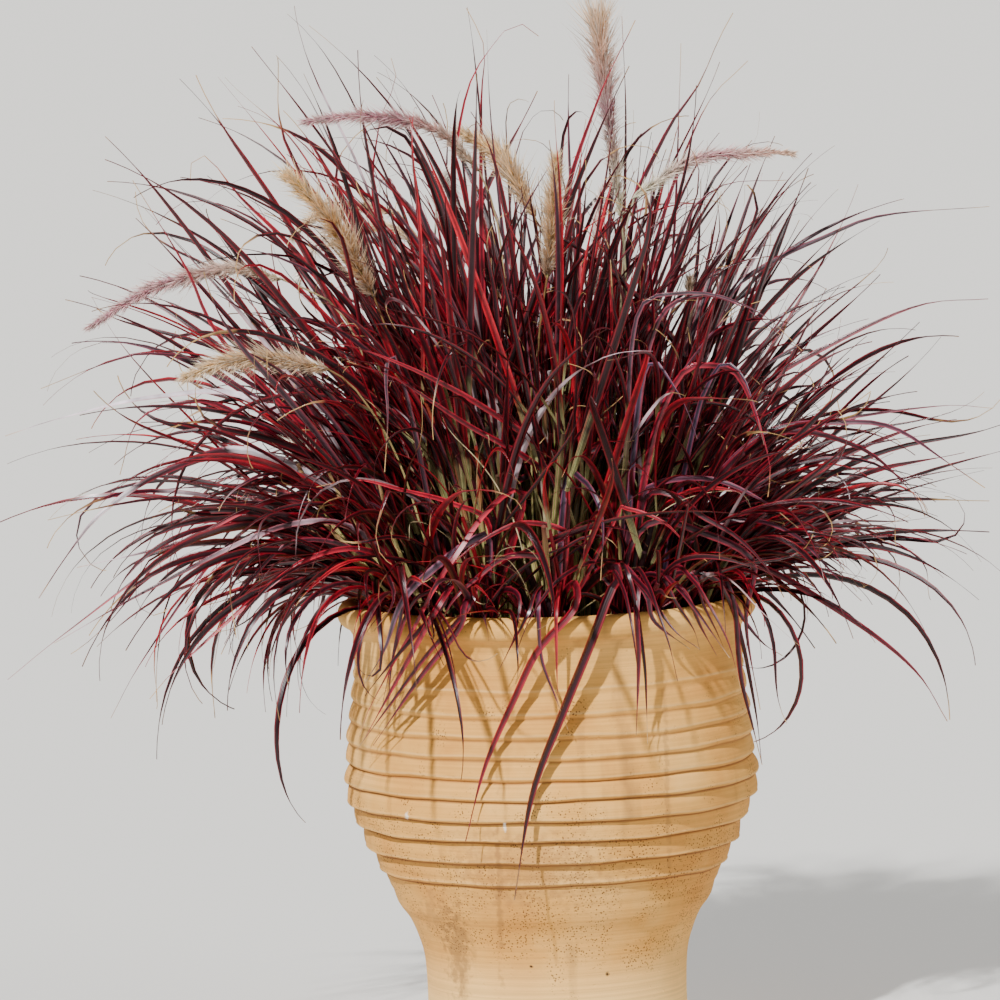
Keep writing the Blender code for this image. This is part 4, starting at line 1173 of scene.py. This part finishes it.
def makeGrass(finishes):
    blade = bladeShape(bladeShares)
    hero = bladeShape(heroShares)
    tube = prism(6, len(culmShares) - 1)
    rng = np.random.default_rng(grass["seed"])
    number = 0
    for ring in grass["rings"]:
        for i in range(ring["tufts"]):
            number += 1
            facing = math.radians(ring["turn"] + 360 * i / ring["tufts"])
            foot = np.array([math.cos(facing) * ring["radius"] * mm, math.sin(facing) * ring["radius"] * mm,
                             grass["footHeight"] * mm])
            ring["swayNow"] = ring["sway"] * (1 if i % 2 else -1)
            makeTuft(number, ring, facing, foot, blade, hero, tube, finishes, rng)


# Flower stems

# Spike is the point of the route where the bristles begin. Widths are in millimetres over the bristles, at the
# spike's foot, middle and tip. Colours run from its foot to its tip.
flowers = {
    "stalkRadius": 1.2,
    "spikeletsPerMillimetre": 1.7,
    "spikeletSize": (1.3, 4.0),
    "spikeletAngle": (18, 44),     # degrees from the spike's axis
    "bristles": 7,                 # on each spikelet
    "longHairs": 0.22,             # share of the bristles that stand out past the others
    "bristleRadius": 0.52,
    "bristleSpread": 0.22,
    "tipShare": 0.06,              # the last of the route, where only bristles reach
    "seed": 23,
    "stems": (
        {"spike": 3, "widths": (13, 20, 33), "colours": ("C8C098", "9C5468", "D8AE74"), "route": (
            (0.060, -0.020, 0.445), (0.088, -0.020, 0.640), (0.095, -0.020, 0.820),
            (0.092, -0.030, 0.896), (0.079, -0.050, 1.025), (0.071, -0.060, 1.125))},
        {"spike": 3, "widths": (14, 19, 9), "colours": ("C8AC84", "B86C80", "C88490"), "route": (
            (-0.020, -0.030, 0.445), (-0.028, -0.028, 0.700), (-0.040, -0.030, 0.887),
            (-0.059, -0.050, 0.953), (-0.106, -0.080, 1.001), (-0.180, -0.120, 1.019), (-0.255, -0.150, 1.015))},
        {"spike": 3, "widths": (24, 31, 14), "colours": ("B07E48", "D8A85E", "E2BA7A"), "route": (
            (0.000, 0.030, 0.445), (0.006, 0.020, 0.680), (0.004, 0.020, 0.850),
            (-0.001, 0.020, 0.900), (-0.036, 0.030, 0.961), (-0.084, 0.030, 0.994))},
        {"spike": 3, "widths": (20, 26, 12), "colours": ("A87848", "D4A45E", "E2BA7A"), "route": (
            (-0.010, -0.064, 0.445), (-0.012, -0.080, 0.640), (0.000, -0.105, 0.780),
            (0.010, -0.125, 0.842), (0.017, -0.155, 0.911), (0.023, -0.190, 0.981))},
        {"spike": 2, "widths": (24, 31, 17), "colours": ("A87440", "D8A556", "E6BE74"), "route": (
            (-0.075, -0.060, 0.445), (-0.120, -0.075, 0.660),
            (-0.176, -0.100, 0.827), (-0.220, -0.140, 0.913), (-0.269, -0.170, 0.969))},
        {"spike": 3, "widths": (15, 20, 8), "colours": ("D2B890", "C48890", "B06C7A"), "route": (
            (-0.116, -0.026, 0.445), (-0.170, -0.038, 0.690), (-0.212, -0.040, 0.804),
            (-0.275, -0.050, 0.843), (-0.329, -0.060, 0.856), (-0.411, -0.080, 0.839), (-0.493, -0.100, 0.793))},
        {"spike": 3, "widths": (19, 26, 12), "colours": ("B88E60", "C89C60", "D8B47C"), "route": (
            (-0.100, -0.090, 0.445), (-0.150, -0.125, 0.640), (-0.195, -0.155, 0.728),
            (-0.226, -0.180, 0.756), (-0.311, -0.220, 0.773), (-0.384, -0.250, 0.755))},
        {"spike": 3, "widths": (15, 17, 7), "colours": ("DCD8B8", "B66C7C", "C89870"), "route": (
            (0.055, -0.036, 0.445), (0.082, -0.053, 0.720), (0.094, -0.062, 0.870),
            (0.106, -0.066, 0.921), (0.172, -0.070, 0.960), (0.244, -0.070, 0.965), (0.287, -0.070, 0.962))},
        {"spike": 3, "widths": (12, 15, 8), "colours": ("C8A070", "D0AC78", "DCB888"), "route": (
            (-0.050, 0.060, 0.445), (-0.085, 0.090, 0.700), (-0.120, 0.120, 0.850),
            (-0.148, 0.140, 0.896), (-0.190, 0.170, 0.903), (-0.243, 0.190, 0.891), (-0.273, 0.200, 0.864))},
        {"spike": 3, "widths": (12, 15, 8), "colours": ("C8A070", "D0AC78", "DCB888"), "route": (
            (-0.050, 0.090, 0.445), (-0.080, 0.135, 0.650), (-0.108, 0.190, 0.800),
            (-0.126, 0.220, 0.852), (-0.154, 0.250, 0.872), (-0.190, 0.280, 0.870), (-0.235, 0.305, 0.850))},
        {"spike": 3, "widths": (12, 16, 9), "colours": ("E6D8C4", "F2E8DC", "F4EAE0"), "route": (
            (-0.070, 0.100, 0.445), (-0.120, 0.178, 0.660), (-0.162, 0.245, 0.810),
            (-0.189, 0.285, 0.862), (-0.216, 0.330, 0.874), (-0.257, 0.350, 0.831), (-0.267, 0.350, 0.800))},
        {"spike": 3, "widths": (12, 15, 9), "colours": ("E6D8C4", "F4ECE4", "F4ECE4"), "route": (
            (-0.030, 0.080, 0.445), (-0.070, 0.120, 0.660), (-0.107, 0.165, 0.840),
            (-0.108, 0.180, 0.895), (-0.098, 0.190, 0.936), (-0.089, 0.200, 0.916), (-0.086, 0.200, 0.890))},
        {"spike": 2, "widths": (11, 14, 8), "colours": ("E0C4BC", "F0DCD4", "F2E0DA"), "route": (
            (0.040, 0.070, 0.445), (0.056, 0.105, 0.660), (0.064, 0.125, 0.800), (0.066, 0.138, 0.870),
            (0.077, 0.145, 0.926))},
        {"spike": 2, "widths": (14, 17, 9), "colours": ("86603E", "9A7048", "AC8254"), "route": (
            (0.080, 0.070, 0.445), (0.125, 0.120, 0.610), (0.155, 0.150, 0.700), (0.166, 0.166, 0.764),
            (0.168, 0.185, 0.820))},
        {"spike": 2, "widths": (16, 22, 14), "colours": ("CCB890", "D8C8A8", "E8DCC4"), "route": (
            (-0.125, -0.038, 0.445), (-0.172, -0.052, 0.555), (-0.221, -0.067, 0.626), (-0.270, -0.083, 0.668))},
        {"spike": 2, "widths": (10, 13, 7), "colours": ("C8B088", "D0B890", "D8C09C"), "route": (
            (0.095, 0.063, 0.445), (0.150, 0.099, 0.640), (0.190, 0.126, 0.775), (0.216, 0.142, 0.830),
            (0.240, 0.158, 0.872))},
    ),
}
stalkStations = 16


def makeFlower(number, stem, tube, hair, seed, finishes, rng):
    route, start = stem["route"], stem["spike"]
    even = np.linspace(0, 1, stalkStations + 1)
    stalk = smoothRoute(route[:start + 1], even)
    axis = smoothRoute(route[start:], np.linspace(0, 1, 41))
    length = np.linalg.norm(np.diff(axis, axis=0), axis=1).sum()
    colours = np.array([linear(colour) for colour in stem["colours"]])
    ends = axis[-1] - stalk[0]
    facing = np.array([math.atan2(ends[1], ends[0])])

    # The stalk, and the spike's own thin axis
    points, faces = tube
    lines = np.stack([stalk, smoothRoute(axis, even * (1 - flowers["tipShare"]))])
    thick = np.array([flowers["stalkRadius"], flowers["stalkRadius"] * 0.8])[:, None] * mm
    size = thick * np.array([1.25 - 0.4 * even, 1 - 0.7 * even])
    placed = sweep((points, faces), lines, levelAcross(np.repeat(facing, 2)), size, np.zeros_like(size))
    parts = [{"points": placed, "faces": faces, "finish": 0, "tint": colours[0] * 0.6, "along": points[None, :, 2],
              "across": np.arctan2(points[:, 1], points[:, 0])[None], "green": 1.0}]

    tangent = np.gradient(axis, axis=0)
    tangent /= np.linalg.norm(tangent, axis=1, keepdims=True)

    # Spikelets lean out from the axis, thin near the spike's ends
    count = int(length / mm * flowers["spikeletsPerMillimetre"])
    t = rng.uniform(0.0, 1 - flowers["tipShare"], count)
    spot = np.stack([np.interp(t, np.linspace(0, 1, 41), axis[:, k]) for k in range(3)], axis=1)
    ahead = np.stack([np.interp(t, np.linspace(0, 1, 41), tangent[:, k]) for k in range(3)], axis=1)
    out = np.cross(ahead, rng.normal(size=(count, 3)))
    out /= np.linalg.norm(out, axis=1, keepdims=True)
    angle = np.radians(rng.uniform(*flowers["spikeletAngle"], count)) * (1 - 0.35 * t)
    way = ahead * np.cos(angle)[:, None] + out * np.sin(angle)[:, None]
    foot, middle, tip = np.array(stem["widths"]) * 0.56 * mm
    half = np.interp(t, (0, 0.1, 0.5, 0.85, 1), (foot * 0.6, foot, middle, tip * 1.1, tip * 0.8))
    spot = spot + out * (half * rng.uniform(0.06, 0.32, count))[:, None]
    thin, long = np.array(flowers["spikeletSize"]) * mm
    base = np.stack([np.interp(t, (0, 0.5, 1), colours[:, k]) for k in range(3)], axis=1)
    placed = scatter(seed, spot, way, np.full(count, thin), np.full(count, long), rng.uniform(0, 6, count))
    parts.append({"points": placed, "faces": seed[1], "finish": 1, "along": 0.0, "across": 0.0,
                  "tint": (base * rng.uniform(0.25, 0.7, (count, 1)))[:, None, :]})

    # Each spikelet has its own spray of bristles
    many = flowers["bristles"]
    way = np.repeat(way, many, axis=0) + rng.normal(0, flowers["bristleSpread"], (count * many, 3))
    stray = rng.uniform(0, 1, count * many) < flowers["longHairs"]
    reach = np.repeat(half / np.maximum(np.sin(angle), 0.38), many)
    reach = reach * np.where(stray, rng.uniform(0.9, 1.3, count * many), rng.uniform(0.35, 0.8, count * many))
    thin = flowers["bristleRadius"] * mm * rng.uniform(0.6, 1.2, count * many) * np.where(stray, 1.35, 1.0)
    placed = scatter(hair, np.repeat(spot, many, axis=0), way, thin, reach, rng.uniform(0, 6, count * many))
    shade = np.repeat(rng.uniform(0.75, 1.25, count), many) * rng.uniform(0.5, 1.5, count * many)
    colour = np.repeat(base, many, axis=0) * shade[:, None]
    colour = np.where(stray[:, None], colour * 0.75 + 0.12, colour)
    parts.append({"points": placed, "faces": hair[1], "finish": 1, "along": hair[0][None, :, 2], "across": 0.0,
                  "tint": colour[:, None, :]})
    piece = joinParts("flowerStem%02d" % number, parts, finishes, sharp=60)
    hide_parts("flower_stem_%02d" % number)


def makeFlowers(finishes):
    tube = prism(6, stalkStations)
    bm = bmesh.new()
    bmesh.ops.create_cone(bm, cap_ends=True, segments=3, radius1=1, radius2=0, depth=1,
                          matrix=Matrix.Translation((0, 0, 0.5)))
    hair = asArrays(bm)
    bm = bmesh.new()
    bmesh.ops.create_icosphere(bm, subdivisions=1, radius=1)
    seed = asArrays(bm)
    rng = np.random.default_rng(flowers["seed"])
    for number, stem in enumerate(flowers["stems"], start=1):
        makeFlower(number, stem, tube, hair, seed, finishes, rng)


makeStudio()
print("Camera, light and floor made")
makePot(terracottaMaterial())
print("Pot made")
straw = strawMaterial()
makeSoil(soilMaterial(), straw)
print("Soil made")
culmSkin = culmMaterial()
makeGrass([leafMaterial(), culmSkin, straw])
print("Grass made")
makeFlowers([culmSkin, bristleMaterial()])
print("Flowers made")
